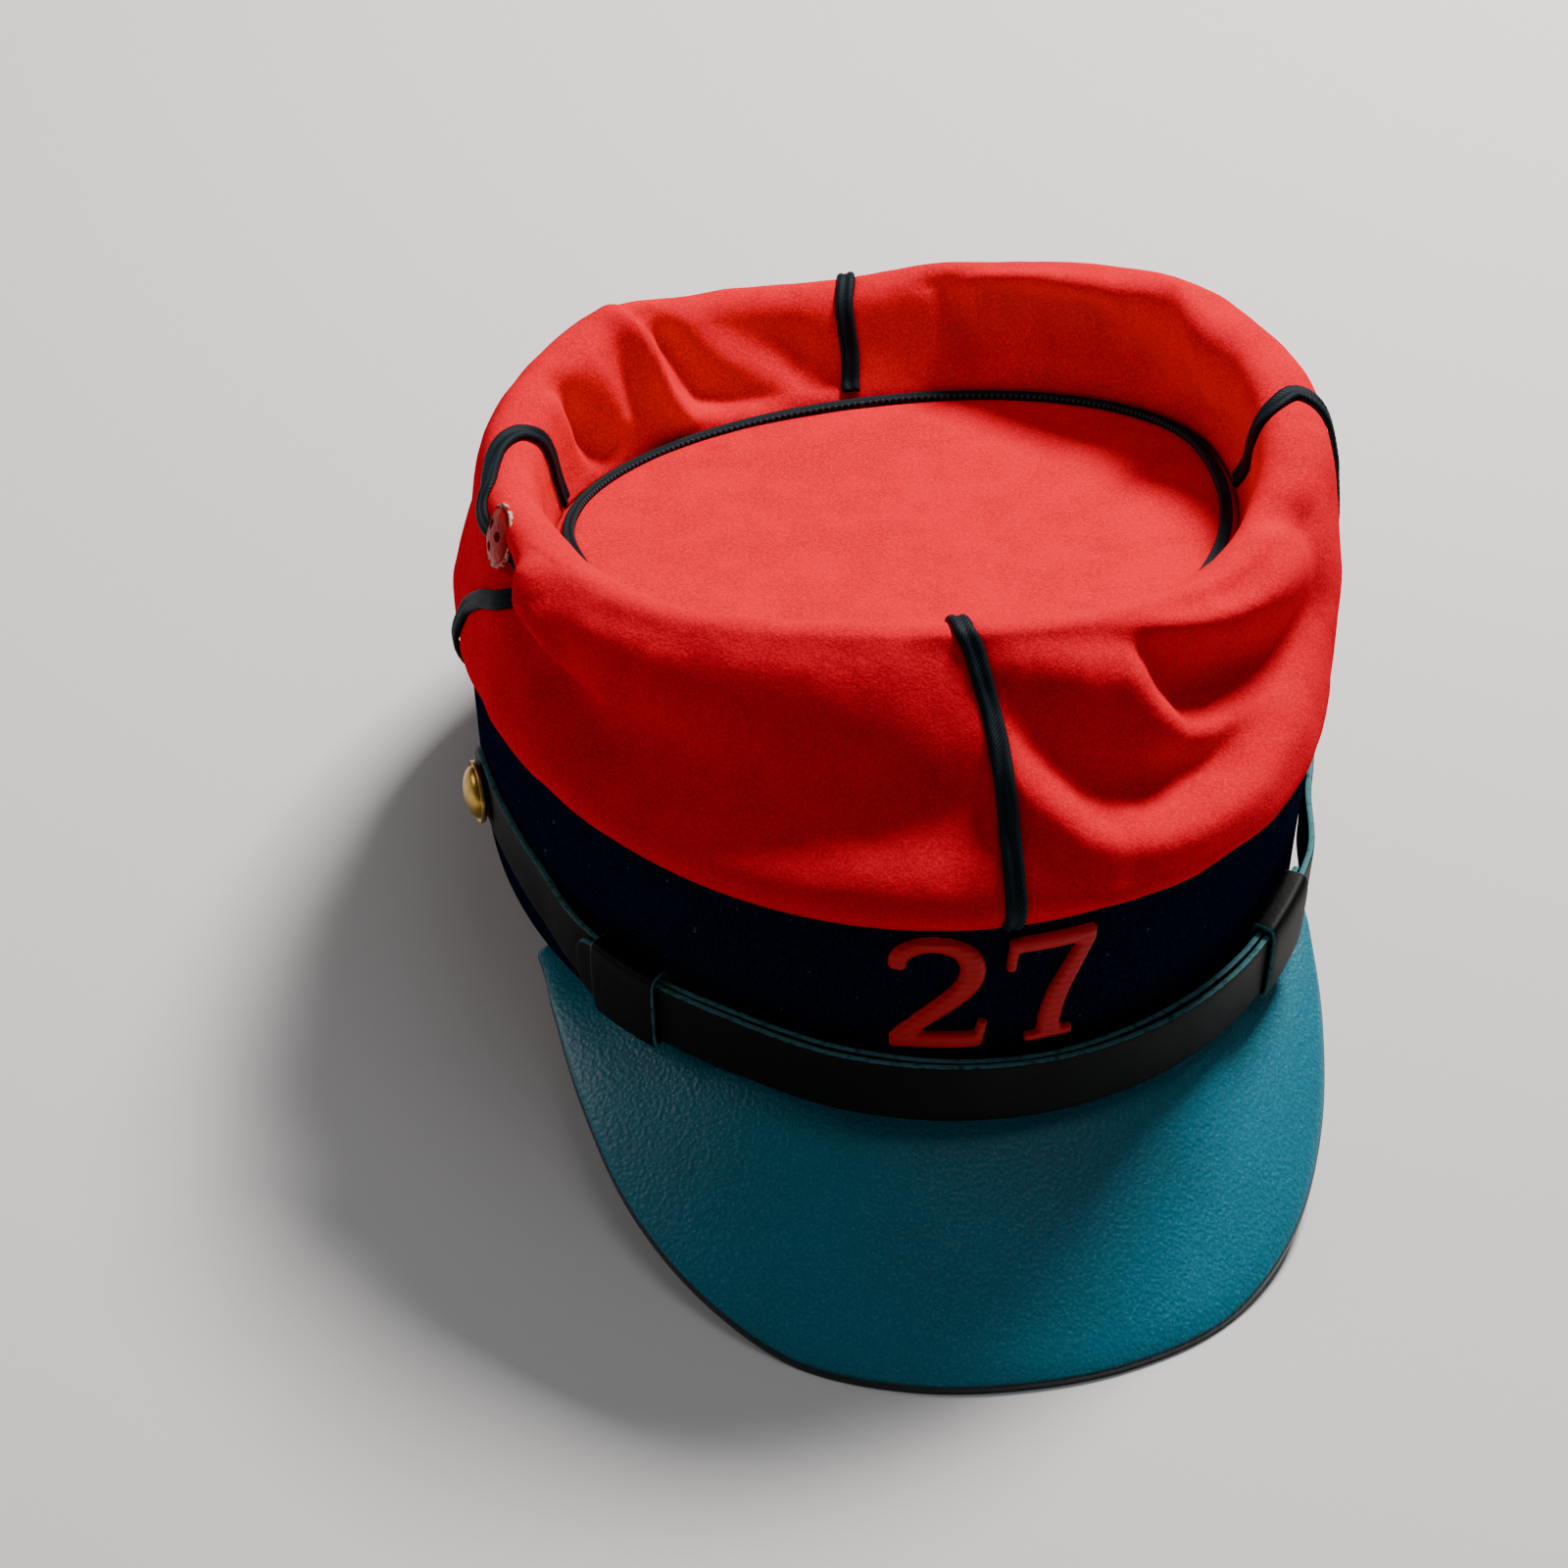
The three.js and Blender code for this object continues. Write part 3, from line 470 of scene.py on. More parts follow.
@dataclass(frozen=True)
class SatinStitch(Finish):
    """Cotton thread laid side by side over padding: a soft gloss broken into fine lines."""

    face: str = "#c40414"
    # deep is the darker colour of the lines between the threads, painted shade
    deep: str = "#90020a"
    gloss: str = "#ff8f8a"
    # The thread is about 0.35 mm thick, drawn at 1.6 mm so that it shows
    thread: float = 1.5708
    fade: float = 2.5

    def paint(self, tree: bpy.types.NodeTree) -> Inputs:
        """Fine lines of thread across the strokes, darkened along the lines as painted shade between the threads."""
        at = add_node(tree, "TexCoord", "Object")
        lines = add_node(tree, "TexWave", "Fac", {
            "Vector": at, "Scale": wave_scale(self.thread, 20), "Distortion": 1.2, "Detail": 2.0,
            "Detail Scale": 2.0}, bands_direction="Z")
        uneven = add_node(tree, "TexNoise", "Fac", {"Vector": at, "Scale": per_metre(self.fade), "Detail": 2.0})
        # Painted shade: the thread lines are darkened towards the deep colour
        thread_shade = add_node(tree, "Math", 0, {0: lines, 1: uneven}, operation="MULTIPLY")
        return {
            "Base Color": add_node(tree, "Mix", 2, {0: thread_shade, 6: self.face, 7: self.deep}, data_type="RGBA"),
            "Normal": add_node(tree, "Bump", 0, {"Strength": 0.3, "Distance": 0.0002, "Height": lines}),
            "Roughness": 0.46, "Specular IOR Level": 0.12, "Sheen Weight": 0.05, "Sheen Tint": self.gloss}


@dataclass(frozen=True)
class StrapLeather(Finish):
    """Blackened vegetable-tanned strap leather: satin face, and bare cut edges painted paler, partly as a painted
    highlight.
    """

    face: str = "#000305"
    worn: str = "#060805"
    # cut is the paler colour of the cut edges, partly bare leather and partly a painted highlight
    cut: str = "#3c7076"
    patch: float = 14
    fray: float = 1.5
    pore: float = 0.9

    def paint(self, tree: bpy.types.NodeTree) -> Inputs:
        """Satin face with worn patches, pores and cut edges painted paler, as bare leather and as a painted
        highlight.
        """
        at = add_node(tree, "TexCoord", "Object")
        wear = add_node(tree, "TexNoise", "Fac", {"Vector": at, "Scale": per_metre(self.patch), "Detail": 4.0})
        face = add_node(tree, "Mix", 2, {0: wear, 6: self.face, 7: self.worn}, data_type="RGBA")
        edge = add_node(tree, "Attribute", "Fac", attribute_name="edge")
        rough = add_node(tree, "TexNoise", "Fac", {"Vector": at, "Scale": per_metre(self.fray), "Detail": 3.0})
        # The paler cut edges are partly bare leather and partly a painted highlight
        bare_and_highlit_edge = add_node(tree, "Math", 0, {0: edge, 1: rough}, operation="MULTIPLY")
        shown = add_node(tree, "MapRange", 0, {"Value": bare_and_highlit_edge, "From Min": 0.15, "From Max": 0.5})
        pores = add_node(tree, "TexVoronoi", "Distance", {"Vector": at, "Scale": per_metre(self.pore)})
        return {
            "Base Color": add_node(tree, "Mix", 2, {0: shown, 6: face, 7: self.cut}, data_type="RGBA"),
            "Normal": add_node(tree, "Bump", 0, {"Strength": 0.25, "Distance": 0.0001, "Height": pores}),
            "Roughness": add_node(tree, "MapRange", 0, {"Value": wear, "To Min": 0.38, "To Max": 0.62}),
            "Specular IOR Level": 0.07}


@dataclass(frozen=True)
class GrainedLeather(Finish):
    """Dyed and polished visor leather with a fine pebbled grain, which breaks its gloss into speckle."""

    face: str = "#0b7188"
    deep: str = "#075a6e"
    # Pale flecks: painted glints of light on the grain's tops
    glint_colour: str = "#3c98a6"
    rim: str = "#061317"
    # The pebbles are about 0.5 mm across, drawn at 0.8 mm so that they show
    pebble: float = 0.8
    cloud: float = 26
    speckle: float = 0.55

    def paint(self, tree: bpy.types.NodeTree) -> Inputs:
        """Pebbled grain, pale flecks painted on as glints on its tops, and a dark worn edge."""
        at = add_node(tree, "TexCoord", "Object")
        pebbles = add_node(tree, "TexVoronoi", "Distance", {"Vector": at, "Scale": per_metre(self.pebble)},
                           feature="SMOOTH_F1")
        clouds = add_node(tree, "TexNoise", "Fac", {"Vector": at, "Scale": per_metre(self.cloud), "Detail": 4.0})
        dye = add_node(tree, "Mix", 2, {0: clouds, 6: self.face, 7: self.deep}, data_type="RGBA")
        glint_noise = add_node(tree, "TexNoise", "Fac", {"Vector": at, "Scale": per_metre(self.speckle), "Detail": 3.0})
        # Painted glints: pale flecks scattered by noise stand for light on the pebbles' tops
        painted_glints = add_node(tree, "MapRange", 0, {
            "Value": glint_noise, "From Min": 0.5, "From Max": 0.72, "To Min": 0.0, "To Max": 0.42})
        dye_with_glints = add_node(tree, "Mix", 2, {0: painted_glints, 6: dye, 7: self.glint_colour}, data_type="RGBA")
        edge = add_node(tree, "Attribute", "Fac", attribute_name="edge")
        return {
            "Base Color": add_node(tree, "Mix", 2, {0: edge, 6: dye_with_glints, 7: self.rim}, data_type="RGBA"),
            "Normal": add_node(tree, "Bump", 0, {"Strength": 0.7, "Distance": 0.0002, "Height": pebbles}),
            "Roughness": add_node(tree, "MapRange", 0, {"Value": clouds, "To Min": 0.34, "To Max": 0.46}),
            "Specular IOR Level": 0.4, "Coat Weight": 0.05, "Coat Roughness": 0.3}


@dataclass(frozen=True)
class StampedBrass(Finish):
    """Stamped sheet brass, lacquered once and dulled by handling: warm, brighter on its dome."""

    face: str = "#c9a04a"
    dull: str = "#8a6a30"
    cloud: float = 2.2

    def paint(self, tree: bpy.types.NodeTree) -> Inputs:
        """Clouded metal whose dull patches are rougher."""
        at = add_node(tree, "TexCoord", "Object")
        clouds = add_node(tree, "TexNoise", "Fac", {"Vector": at, "Scale": per_metre(self.cloud), "Detail": 5.0})
        return {
            "Base Color": add_node(tree, "Mix", 2, {0: clouds, 6: self.face, 7: self.dull}, data_type="RGBA"),
            "Normal": add_node(tree, "Bump", 0, {"Strength": 0.2, "Distance": 0.0001, "Height": clouds}),
            "Roughness": add_node(tree, "MapRange", 0, {"Value": clouds, "To Min": 0.2, "To Max": 0.48}),
            "Metallic": 1.0}


@dataclass(frozen=True)
class ChippedEnamel(Finish):
    """Stoved red paint over a stamped disc: glossy, chipped to pale metal round its rim and holes."""

    face: str = "#c01006"
    deep: str = "#7a0804"
    chip: str = "#c8a890"
    # hollow is the holes' colour, painted shade for the dark seen through them
    hollow: str = "#0c0605"
    cloud: float = 3.0
    flake: float = 1.3

    def paint(self, tree: bpy.types.NodeTree) -> Inputs:
        """Glossy paint, chips along the edges, and the holes, which are only dips, coloured near black as painted
        shade.
        """
        at = add_node(tree, "TexCoord", "Object")
        clouds = add_node(tree, "TexNoise", "Fac", {"Vector": at, "Scale": per_metre(self.cloud), "Detail": 3.0})
        paint = add_node(tree, "Mix", 2, {0: clouds, 6: self.face, 7: self.deep}, data_type="RGBA")
        rim = add_node(tree, "Attribute", "Fac", attribute_name="edge")
        flakes = add_node(tree, "TexNoise", "Fac", {"Vector": at, "Scale": per_metre(self.flake), "Detail": 4.0})
        worn = add_node(tree, "Math", 0, {0: rim, 1: flakes}, operation="MULTIPLY")
        shown = add_node(tree, "MapRange", 0, {"Value": worn, "From Min": 0.46, "From Max": 0.52})
        chipped = add_node(tree, "Mix", 2, {0: shown, 6: paint, 7: self.chip}, data_type="RGBA")
        # Painted shade: the dips that stand for holes are coloured near black
        hole = add_node(tree, "Attribute", "Fac", attribute_name="hole")
        return {
            "Base Color": add_node(tree, "Mix", 2, {0: hole, 6: chipped, 7: self.hollow}, data_type="RGBA"),
            "Normal": add_node(tree, "Bump", 0, {"Strength": 0.4, "Distance": 0.0002, "Height": flakes}),
            "Roughness": 0.42, "Specular IOR Level": 0.1}


RED_WOOL = MilledWool("milled_red_wool", "red_wool")
NAVY_WOOL = MilledWool("milled_navy_wool", "navy_wool", face="#030716", deep="#01030c", tip="#101a34",
                       sheen=0.04, lint=0.12)
NAVY_BRAID = FlatBraid("worsted_braid", "navy_braid")
RED_THREAD = SatinStitch("satin_stitch", "red_thread")
STRAP_LEATHER = StrapLeather("blackened_strap_leather", "strap_leather")
VISOR_LEATHER = GrainedLeather("grained_visor_leather", "visor_leather")
BRASS = StampedBrass("stamped_brass", "brass")
RED_PAINT = ChippedEnamel("chipped_enamel", "red_paint")


def dress(piece: bpy.types.Object, finish: Finish, *nodes: str) -> bpy.types.Object:
    """Gives a piece its finish, hangs it under the root body and hides the solids that it stands for.

    Args:
        piece: The piece.
        finish: Its finish.
        nodes: The solids that it replaces.

    Returns:
        The same piece.
    """
    piece.data.materials.append(finish.make())
    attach(piece, "root")
    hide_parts(*nodes)
    return piece


# The cap's shapes


@dataclass(frozen=True)
class Oval:
    """An oval with its own half length in front and behind."""

    half_width: float
    front: float
    back: float

    def point(self, azimuth: Array, grow: Array | float = 0.0) -> Array:
        """Its point at an azimuth.

        Args:
            azimuth: 0 in front, and positive to the wearer's left.
            grow: Millimetres that it is grown on all sides.

        Returns:
            The two flat coordinates.
        """
        a = np.radians(azimuth)
        half = np.where(np.cos(a) > 0, self.front, self.back) + grow
        return np.stack([(self.half_width + grow) * np.sin(a), -half * np.cos(a)], axis=-1)


@dataclass(frozen=True)
class BandShape:
    """The band: its lower oval, its height, how much it opens towards its top, and its thickness."""

    oval: Oval = Oval(84, 106, 99)
    height: float = 45.0
    flare: float = 2.5
    thickness: float = 2.6

    def point(self, azimuth: Array, z: Array, off: Array | float = 0.0) -> Array:
        """A point on the outer face, or off it.

        Args:
            azimuth: Its azimuth.
            z: Its height above the lower edge.
            off: How far it stands proud of the face.

        Returns:
            The point.
        """
        z = z + 0 * azimuth
        flat = self.oval.point(azimuth, off + self.flare * z / self.height)
        return np.concatenate([flat, z[..., None]], axis=-1)

    def per_degree(self) -> float:
        """Millimetres along the outer face for a degree, at the sides."""
        return math.radians(self.oval.half_width + self.flare)


BAND = BandShape()


@dataclass(frozen=True)
class Top:
    """The sunken oval top: its oval, turned and leaning, and how it sags."""

    oval: Oval = Oval(70.5, 79, 46)
    x: float = 3.7
    y: float = 17.5
    z: float = 62.0
    rake: float = -0.07
    roll: float = 0.03
    yaw: float = 5.0
    sag: float = 2.0

    def height(self, x: Array, y: Array) -> Array:
        """Height of its plane."""
        return self.z + self.rake * (y - self.y) + self.roll * (x - self.x)

    def point(self, azimuth: Array, share: Array | float) -> Array:
        """A point between its middle and its edge.

        Args:
            azimuth: Its azimuth.
            share: How much of the way out to the edge it is.

        Returns:
            The point.
        """
        flat = self.oval.point(azimuth - self.yaw) * np.asarray(share)[..., None]
        c, s = math.cos(math.radians(self.yaw)), math.sin(math.radians(self.yaw))
        x = c * flat[..., 0] - s * flat[..., 1] + self.x
        y = s * flat[..., 0] + c * flat[..., 1] + self.y
        return np.stack([x, y, self.height(x, y)], axis=-1)


TOP = Top()


@dataclass(frozen=True)
class CrownSection:
    """One upright section of the crown: how far parts of it stand out, and its crest's height."""

    azimuth: float
    bulge: float
    waist: float
    shoulder: float
    crest_out: float
    crest_z: float


CROWN_SECTIONS = (
    CrownSection(-180, 2.0, 0.0, 5.0, 0, 79.0),
    CrownSection(-160, 2.0, 0.0, 5.0, 0, 81.0),
    CrownSection(-140, 2.2, 0.0, 5.0, 0, 86.0),
    CrownSection(-120, 2.4, -1.0, 5.0, 0, 84.5),
    CrownSection(-100, 2.6, -2.5, 4.5, 0, 83.5),
    CrownSection(-80, 2.8, -3.0, 4.5, 0, 86.0),
    CrownSection(-60, 3.0, -2.0, 5.0, 0, 86.0),
    CrownSection(-40, 3.0, -0.5, 5.0, 0, 88.0),
    CrownSection(-20, 2.8, 0.5, 5.0, 0, 91.5),
    CrownSection(0, 2.5, 1.0, 5.0, 0, 92.0),
    CrownSection(20, 2.4, 0.5, 5.0, 0, 89.5),
    CrownSection(40, 2.4, 0.0, 5.0, 0, 86.0),
    CrownSection(60, 2.0, 0.0, 5.5, 1, 87.0),
    CrownSection(80, 2.0, 0.5, 6.5, 2, 91.5),
    CrownSection(100, 2.0, 1.0, 6.5, 2, 94.0),
    CrownSection(120, 2.0, 1.0, 6.0, 1, 94.5),
    CrownSection(140, 2.0, 0.5, 5.0, 0, 89.0),
    CrownSection(160, 2.0, 0.0, 5.0, 0, 84.0),
)


@dataclass(frozen=True)
class Fold:
    """A fold of the crown's cloth along a path.

    Each stop of the path has an azimuth, a place up the wall (0 at the band, about 0.57 on the crest, 1 at
    the sunken top), the half width across the fold in millimetres, and its height, negative for a crease.
    """

    name: str
    path: tuple[tuple[float, float, float, float], ...]
    sharpness: float = 2.0

    PER_DEGREE = 1.45
    WALL_RUN = 95.0

    def height(self, azimuth: Array, place: Array) -> Array:
        """How far this fold lifts the cloth.

        Args:
            azimuth: Azimuths in degrees.
            place: Places up the wall.

        Returns:
            Heights in millimetres.
        """
        nearest = np.full(azimuth.shape, np.inf)
        width = np.ones(azimuth.shape)
        height = np.zeros(azimuth.shape)
        for (a0, p0, w0, h0), (a1, p1, w1, h1) in zip(self.path, self.path[1:]):
            x = (np.mod(azimuth - a0 + 180, 360) - 180) * self.PER_DEGREE
            y = (place - p0) * self.WALL_RUN
            dx, dy = (a1 - a0) * self.PER_DEGREE, (p1 - p0) * self.WALL_RUN
            t = np.clip((x * dx + y * dy) / (dx * dx + dy * dy), 0, 1)
            far = np.hypot(x - t * dx, y - t * dy)
            closer = far < nearest
            nearest = np.where(closer, far, nearest)
            width = np.where(closer, w0 + t * (w1 - w0), width)
            height = np.where(closer, h0 + t * (h1 - h0), height)
        return height * np.exp(-((nearest / width) ** self.sharpness))


FOLDS = (
    Fold("long crease on the left", (
        (-73, 0.345, 4.2, -5.0), (-66, 0.325, 3.8, -5.8), (-60, 0.298, 3.6, -5.6), (-52, 0.288, 3.8, -4.4),
        (-42, 0.292, 4.0, -4.4), (-30, 0.285, 4.4, -4.0), (-15, 0.28, 5.0, -3.2), (-2, 0.27, 5.5, -2.0))),
    Fold("second crease on the left", (
        (-62, 0.266, 3.2, -2.0), (-52, 0.238, 3.4, -4.0), (-44, 0.230, 3.6, -4.0), (-36, 0.226, 3.8, -3.2),
        (-26, 0.230, 4.4, -1.8), (-16, 0.24, 5.0, -0.6))),
    Fold("swell under the creases", (
        (-74, 0.19, 5, 1.4), (-56, 0.165, 5, 2.4), (-40, 0.16, 5, 2.4), (-22, 0.16, 5.5, 2.0), (-8, 0.15, 6, 1.4))),
    Fold("roll over the crease", (
        (-60, 0.40, 6, 1.8), (-50, 0.39, 6, 2.6), (-38, 0.39, 7, 2.6), (-12, 0.39, 8, 1.6))),
    Fold("drape beside the vent", (
        (-67, 0.53, 5, 1.0), (-66, 0.46, 5, 4.0), (-65, 0.40, 4.6, 4.6), (-61, 0.36, 4.2, 2.6))),
    Fold("hollow behind the drape", ((-79, 0.40, 5.5, -3.4), (-75, 0.375, 4.6, -4.2))),
    Fold("pocket under the rim", (
        (23, 0.415, 3.2, -2.4), (26, 0.385, 4.2, -6.0), (30, 0.353, 5.2, -9.0), (35, 0.338, 5.4, -9.6),
        (41, 0.328, 5.2, -8.8), (50, 0.315, 4.6, -6.0), (60, 0.32, 4.5, -2.4))),
    Fold("rim over the pocket", (
        (22, 0.47, 4.6, 1.0), (29, 0.440, 4.4, 3.2), (36, 0.425, 4.4, 3.8), (44, 0.415, 4.4, 3.4),
        (56, 0.41, 5, 1.6))),
    Fold("lip of the pocket", (
        (20, 0.375, 3.6, 1.4), (24, 0.345, 3.6, 2.6), (28, 0.320, 3.4, 3.6), (32, 0.305, 3.4, 4.0),
        (38, 0.297, 3.4, 3.6), (44, 0.288, 3.6, 2.6), (50, 0.285, 4.0, 1.4))),
    Fold("second pocket", (
        (2, 0.375, 3.4, -1.6), (6, 0.345, 4.6, -4.0), (10, 0.315, 5.4, -6.0), (13, 0.290, 6.0, -7.4),
        (17, 0.270, 5.8, -8.0), (22, 0.260, 4.8, -7.4), (28, 0.254, 4.0, -6.2), (34, 0.252, 3.6, -4.8),
        (42, 0.262, 3.6, -3.2), (50, 0.280, 4.0, -1.2))),
    Fold("wall over the second pocket", ((6, 0.42, 4.5, 1.0), (13, 0.40, 4.5, 2.2), (19, 0.39, 4.0, 1.6))),
    Fold("ridge under the second pocket", (
        (3, 0.30, 4.0, 2.0), (7, 0.268, 4.0, 3.0), (11, 0.236, 4.0, 3.4), (15, 0.214, 4.0, 3.4),
        (20, 0.200, 4.2, 3.2), (28, 0.192, 4.4, 2.8), (37, 0.195, 4.6, 2.4), (48, 0.222, 5.0, 1.2))),
    Fold("low bulge on the right", (
        (14, 0.10, 5.5, 1.6), (26, 0.10, 6, 2.4), (40, 0.11, 6, 2.2), (58, 0.15, 7, 1.0))),
    Fold("ridge, back left", (
        (-141, 0.60, 4.0, 1.6), (-141, 0.70, 3.6, 4.0), (-142.5, 0.80, 3.6, 5.4), (-147, 0.95, 4.0, 2.8))),
    Fold("hollow, back left", (
        (-148, 0.66, 4.5, -2.6), (-151, 0.76, 5, -6.0), (-154, 0.87, 6, -6.0), (-162, 0.93, 6, -2.4))),
    Fold("shelf, back left", ((-160, 0.74, 7, -2.0), (-171, 0.79, 7, -3.2), (-175.5, 0.9, 6, -1.6))),
    Fold("soft fold, left of the ridge", (
        (-121.5, 0.68, 4.2, -2.0), (-124.5, 0.84, 4.0, -4.2), (-126, 0.95, 4, -2.6))),
    Fold("soft ridge further left", ((-130, 0.72, 4.5, 1.0), (-133, 0.86, 4.5, 2.4))),
    Fold("hollow, back right", (
        (160, 0.70, 5, -2.4), (157, 0.84, 6, -5.0), (146, 0.78, 6.5, -5.2), (133, 0.82, 6.5, -5.6),
        (122, 0.88, 6, -3.2))),
    Fold("ridge in the back right", ((152, 0.68, 4, 1.8), (140, 0.70, 4.5, 2.8), (128, 0.72, 4.5, 2.2))),
    Fold("ridge, right", ((117, 0.62, 5, 1.6), (108, 0.74, 5, 3.8), (100, 0.80, 5, 2.8))),
    Fold("dent in the right rim", ((60, 0.60, 5, -2.0), (61.5, 0.45, 5, -2.2))),
)


@dataclass(frozen=True)
class Crown:
    """The crown's wall: the curve that each section follows, its four seams, folds and panels.

    Heights of the bulge and waist are shares of the wall's height. The roll over the rim has a shoulder
    outside it and a lip inside, and the cloth bends once more on its way down to the sunken top.
    """

    crest: Oval = Oval(79, 79, 82)
    bulge_at: float = 0.16
    waist_at: float = 0.5
    waist_lift: float = 3.0
    shoulder_drop: float = 5.0
    lip_in: float = 7.0
    lip_drop: float = 3.2
    basin_out: float = 0.45
    basin_rise: float = 0.4
    foot_gap: float = 0.3
    fold_fade: float = 0.08
    cloth: float = 1.6
    columns: int = 104
    rows: int = 104
    seam_width: float = 1.5
    seam_depth: float = 0.9
    # How far the columns of a panel crowd towards its seams, and how its unevenness fades at band and top
    crowding: float = 0.62
    rumple_fade: tuple[float, float] = (0.05, 0.06)
    waves: tuple[tuple[float, float, float], ...] = ((0.75, 21, 3.1), (0.3, 9, 7.7), (0.1, 4, 1.3))

    def column(self, name: str, azimuth: Array) -> Array:
        """Reads one column of the sections' table."""
        return around(column(CROWN_SECTIONS, name), azimuth)

    def controls(self, azimuth: Array) -> Array:
        """The eight points that the wall's section passes through, from band to top.

        Args:
            azimuth: The azimuths of the sections.

        Returns:
            The eight points of each, the first at the band.
        """
        crest_z, crest_out = self.column("crest_z", azimuth), self.column("crest_out", azimuth)
        rise = crest_z - BAND.height
        foot = BAND.oval.point(azimuth, BAND.flare)
        bulge = BAND.oval.point(azimuth, BAND.flare + self.column("bulge", azimuth))
        shoulder = self.crest.point(azimuth, crest_out + self.column("shoulder", azimuth))
        waist = foot + (shoulder - foot) * self.waist_at
        waist = waist + unit(waist) * (self.waist_lift + self.column("waist", azimuth))[..., None]
        lip = self.crest.point(azimuth, crest_out - self.lip_in)
        lip_z = crest_z - self.lip_drop
        edge = TOP.point(azimuth, np.ones(azimuth.shape))
        basin = edge[..., :2] + (lip - edge[..., :2]) * self.basin_out
        rings = (
            (foot, BAND.height + self.foot_gap + 0 * rise),
            (bulge, BAND.height + self.bulge_at * rise),
            (waist, BAND.height + self.waist_at * rise),
            (shoulder, crest_z - self.shoulder_drop),
            (self.crest.point(azimuth, crest_out), crest_z),
            (lip, lip_z),
            (basin, edge[..., 2] + self.basin_rise * (lip_z - edge[..., 2])),
            (edge[..., :2], edge[..., 2]),
        )
        return np.stack([np.concatenate([flat, z[..., None]], axis=-1) for flat, z in rings])

    def smooth(self, azimuth: Array, place: Array) -> Array:
        """The wall's face without its folds.

        Args:
            azimuth: Azimuths in degrees.
            place: Places up the wall, from 0 at the band to 1 at the top.

        Returns:
            The points there.
        """
        points = self.controls(azimuth)
        last = len(points) - 1
        s = np.clip(place, 0, 1) * last
        i = np.minimum(np.floor(s).astype(int), last - 1)
        which = np.arange(len(azimuth))
        p1, p2 = points[i, which], points[i + 1, which]
        p0 = np.where((i > 0)[:, None], points[np.maximum(i - 1, 0), which], 2 * p1 - p2)
        p3 = np.where((i + 2 <= last)[:, None], points[np.minimum(i + 2, last), which], 2 * p2 - p1)
        return blend(p0, p1, p2, p3, (s - i)[:, None])

    def normal(self, surface: Surface, azimuth: Array, place: Array) -> Array:
        """The outward direction of a face of the wall.

        Args:
            surface: The face, smooth or folded.
            azimuth: Azimuths in degrees.
            place: Places up the wall.

        Returns:
            The directions there, each of length 1.
        """
        low, high = np.maximum(place - 0.01, 0), np.minimum(place + 0.01, 1)
        across = surface(azimuth + 0.5, place) - surface(azimuth - 0.5, place)
        return unit(np.cross(across, surface(azimuth, high) - surface(azimuth, low)))

    def face(self, azimuth: Array, place: Array) -> Array:
        """The wall's face with its folds.

        Args:
            azimuth: Azimuths in degrees.
            place: Places up the wall.

        Returns:
            The points there.
        """
        fade = np.minimum(1, np.minimum(place / self.fold_fade, (1 - place) / self.fold_fade))
        lift = sum(fold.height(azimuth, place) for fold in FOLDS)
        flat = self.smooth(azimuth, place)
        return flat + self.normal(self.smooth, azimuth, place) * (lift * np.clip(fade, 0, 1))[:, None]

    def rumpled(self, azimuth: Array, place: Array) -> Array:
        """The folded face with the small unevenness of soft cloth.

        Args:
            azimuth: Azimuths in degrees.
            place: Places up the wall.

        Returns:
            The points there.
        """
        points = self.face(azimuth, place)
        at_band, at_top = self.rumple_fade
        fade = np.clip(np.minimum(place / at_band, (1 - place) / at_top), 0, 1)
        lift = ripples(points, self.waves) * fade
        return points + self.normal(self.face, azimuth, place) * lift[:, None]

    def panel(self, name: str, start: "Seam", end: "Seam", turn: float) -> bpy.types.Object:
        """One of the four panels, whose edges turn in at its two seams.

        Args:
            name: The panel's name.
            start: The seam on its first side.
            end: The seam on its other side.
            turn: 360 where the end seam lies past the back of the cap, or else 0.

        Returns:
            The panel.
        """
        width = (end.azimuth + turn - start.azimuth) * Fold.PER_DEGREE

        def place_cloth(u: Array, w: Array) -> Array:
            share = u - self.crowding * np.sin(2 * np.pi * u) / (2 * np.pi)
            azimuth = start.at(w) * (1 - share) + (end.at(w) + turn) * share
            points = self.rumpled(azimuth, w)
            near = np.minimum(share, 1 - share) * width
            dip = self.seam_depth * np.exp(-((near / self.seam_width) ** 2))
            return points - self.normal(self.face, azimuth, w) * dip[:, None]

        piece = bent_grid(name, self.columns, self.rows, place_cloth, (width, Fold.WALL_RUN))
        thicken(piece, self.cloth)
        return piece

    def build(self) -> None:
        """Makes and dresses the four panels."""
        seams = list(Seam)
        for i, name in enumerate(("front_left", "front_right", "back_right", "back_left")):
            last = i + 1 == len(seams)
            panel = self.panel(f"wool_{name}", seams[i], seams[(i + 1) % len(seams)], 360 if last else 0)
            dress(panel, RED_WOOL, f"panel_{name}")
            log.info("crown panel %s", panel.name)


class Seam(Enum):
    """The crown's four seams: the azimuth of each at places up the wall."""

    LEFT = ("left", ((0, -87), (0.14, -88.5), (0.23, -87), (0.29, -82), (0.33, -76.5), (0.36, -74), (0.39, -77),
                     (0.44, -87), (0.51, -91), (0.56, -99), (0.64, -105), (0.75, -108), (1, -108)))
    FRONT = ("front", ((0, 1.5), (0.24, 1.5), (0.34, 1.2), (0.42, 0), (0.57, -1.5), (1, -1.5)))
    RIGHT = ("right", ((0, 84), (0.45, 84), (0.56, 86), (0.66, 84), (0.76, 81.5), (0.9, 82.5), (1, 83)))
    BACK = ("back", ((0, 176), (0.62, 176), (0.8, 178), (1, 181.5)))

    @property
    def azimuth(self) -> float:
        """Its azimuth on the band."""
        return self.value[1][0][1]

    def at(self, place: Array) -> Array:
        """Its azimuth at a place up the wall."""
        stops = np.array(self.value[1], float)
        return along(stops[:, 0], stops[:, 1], place)


CROWN = Crown()


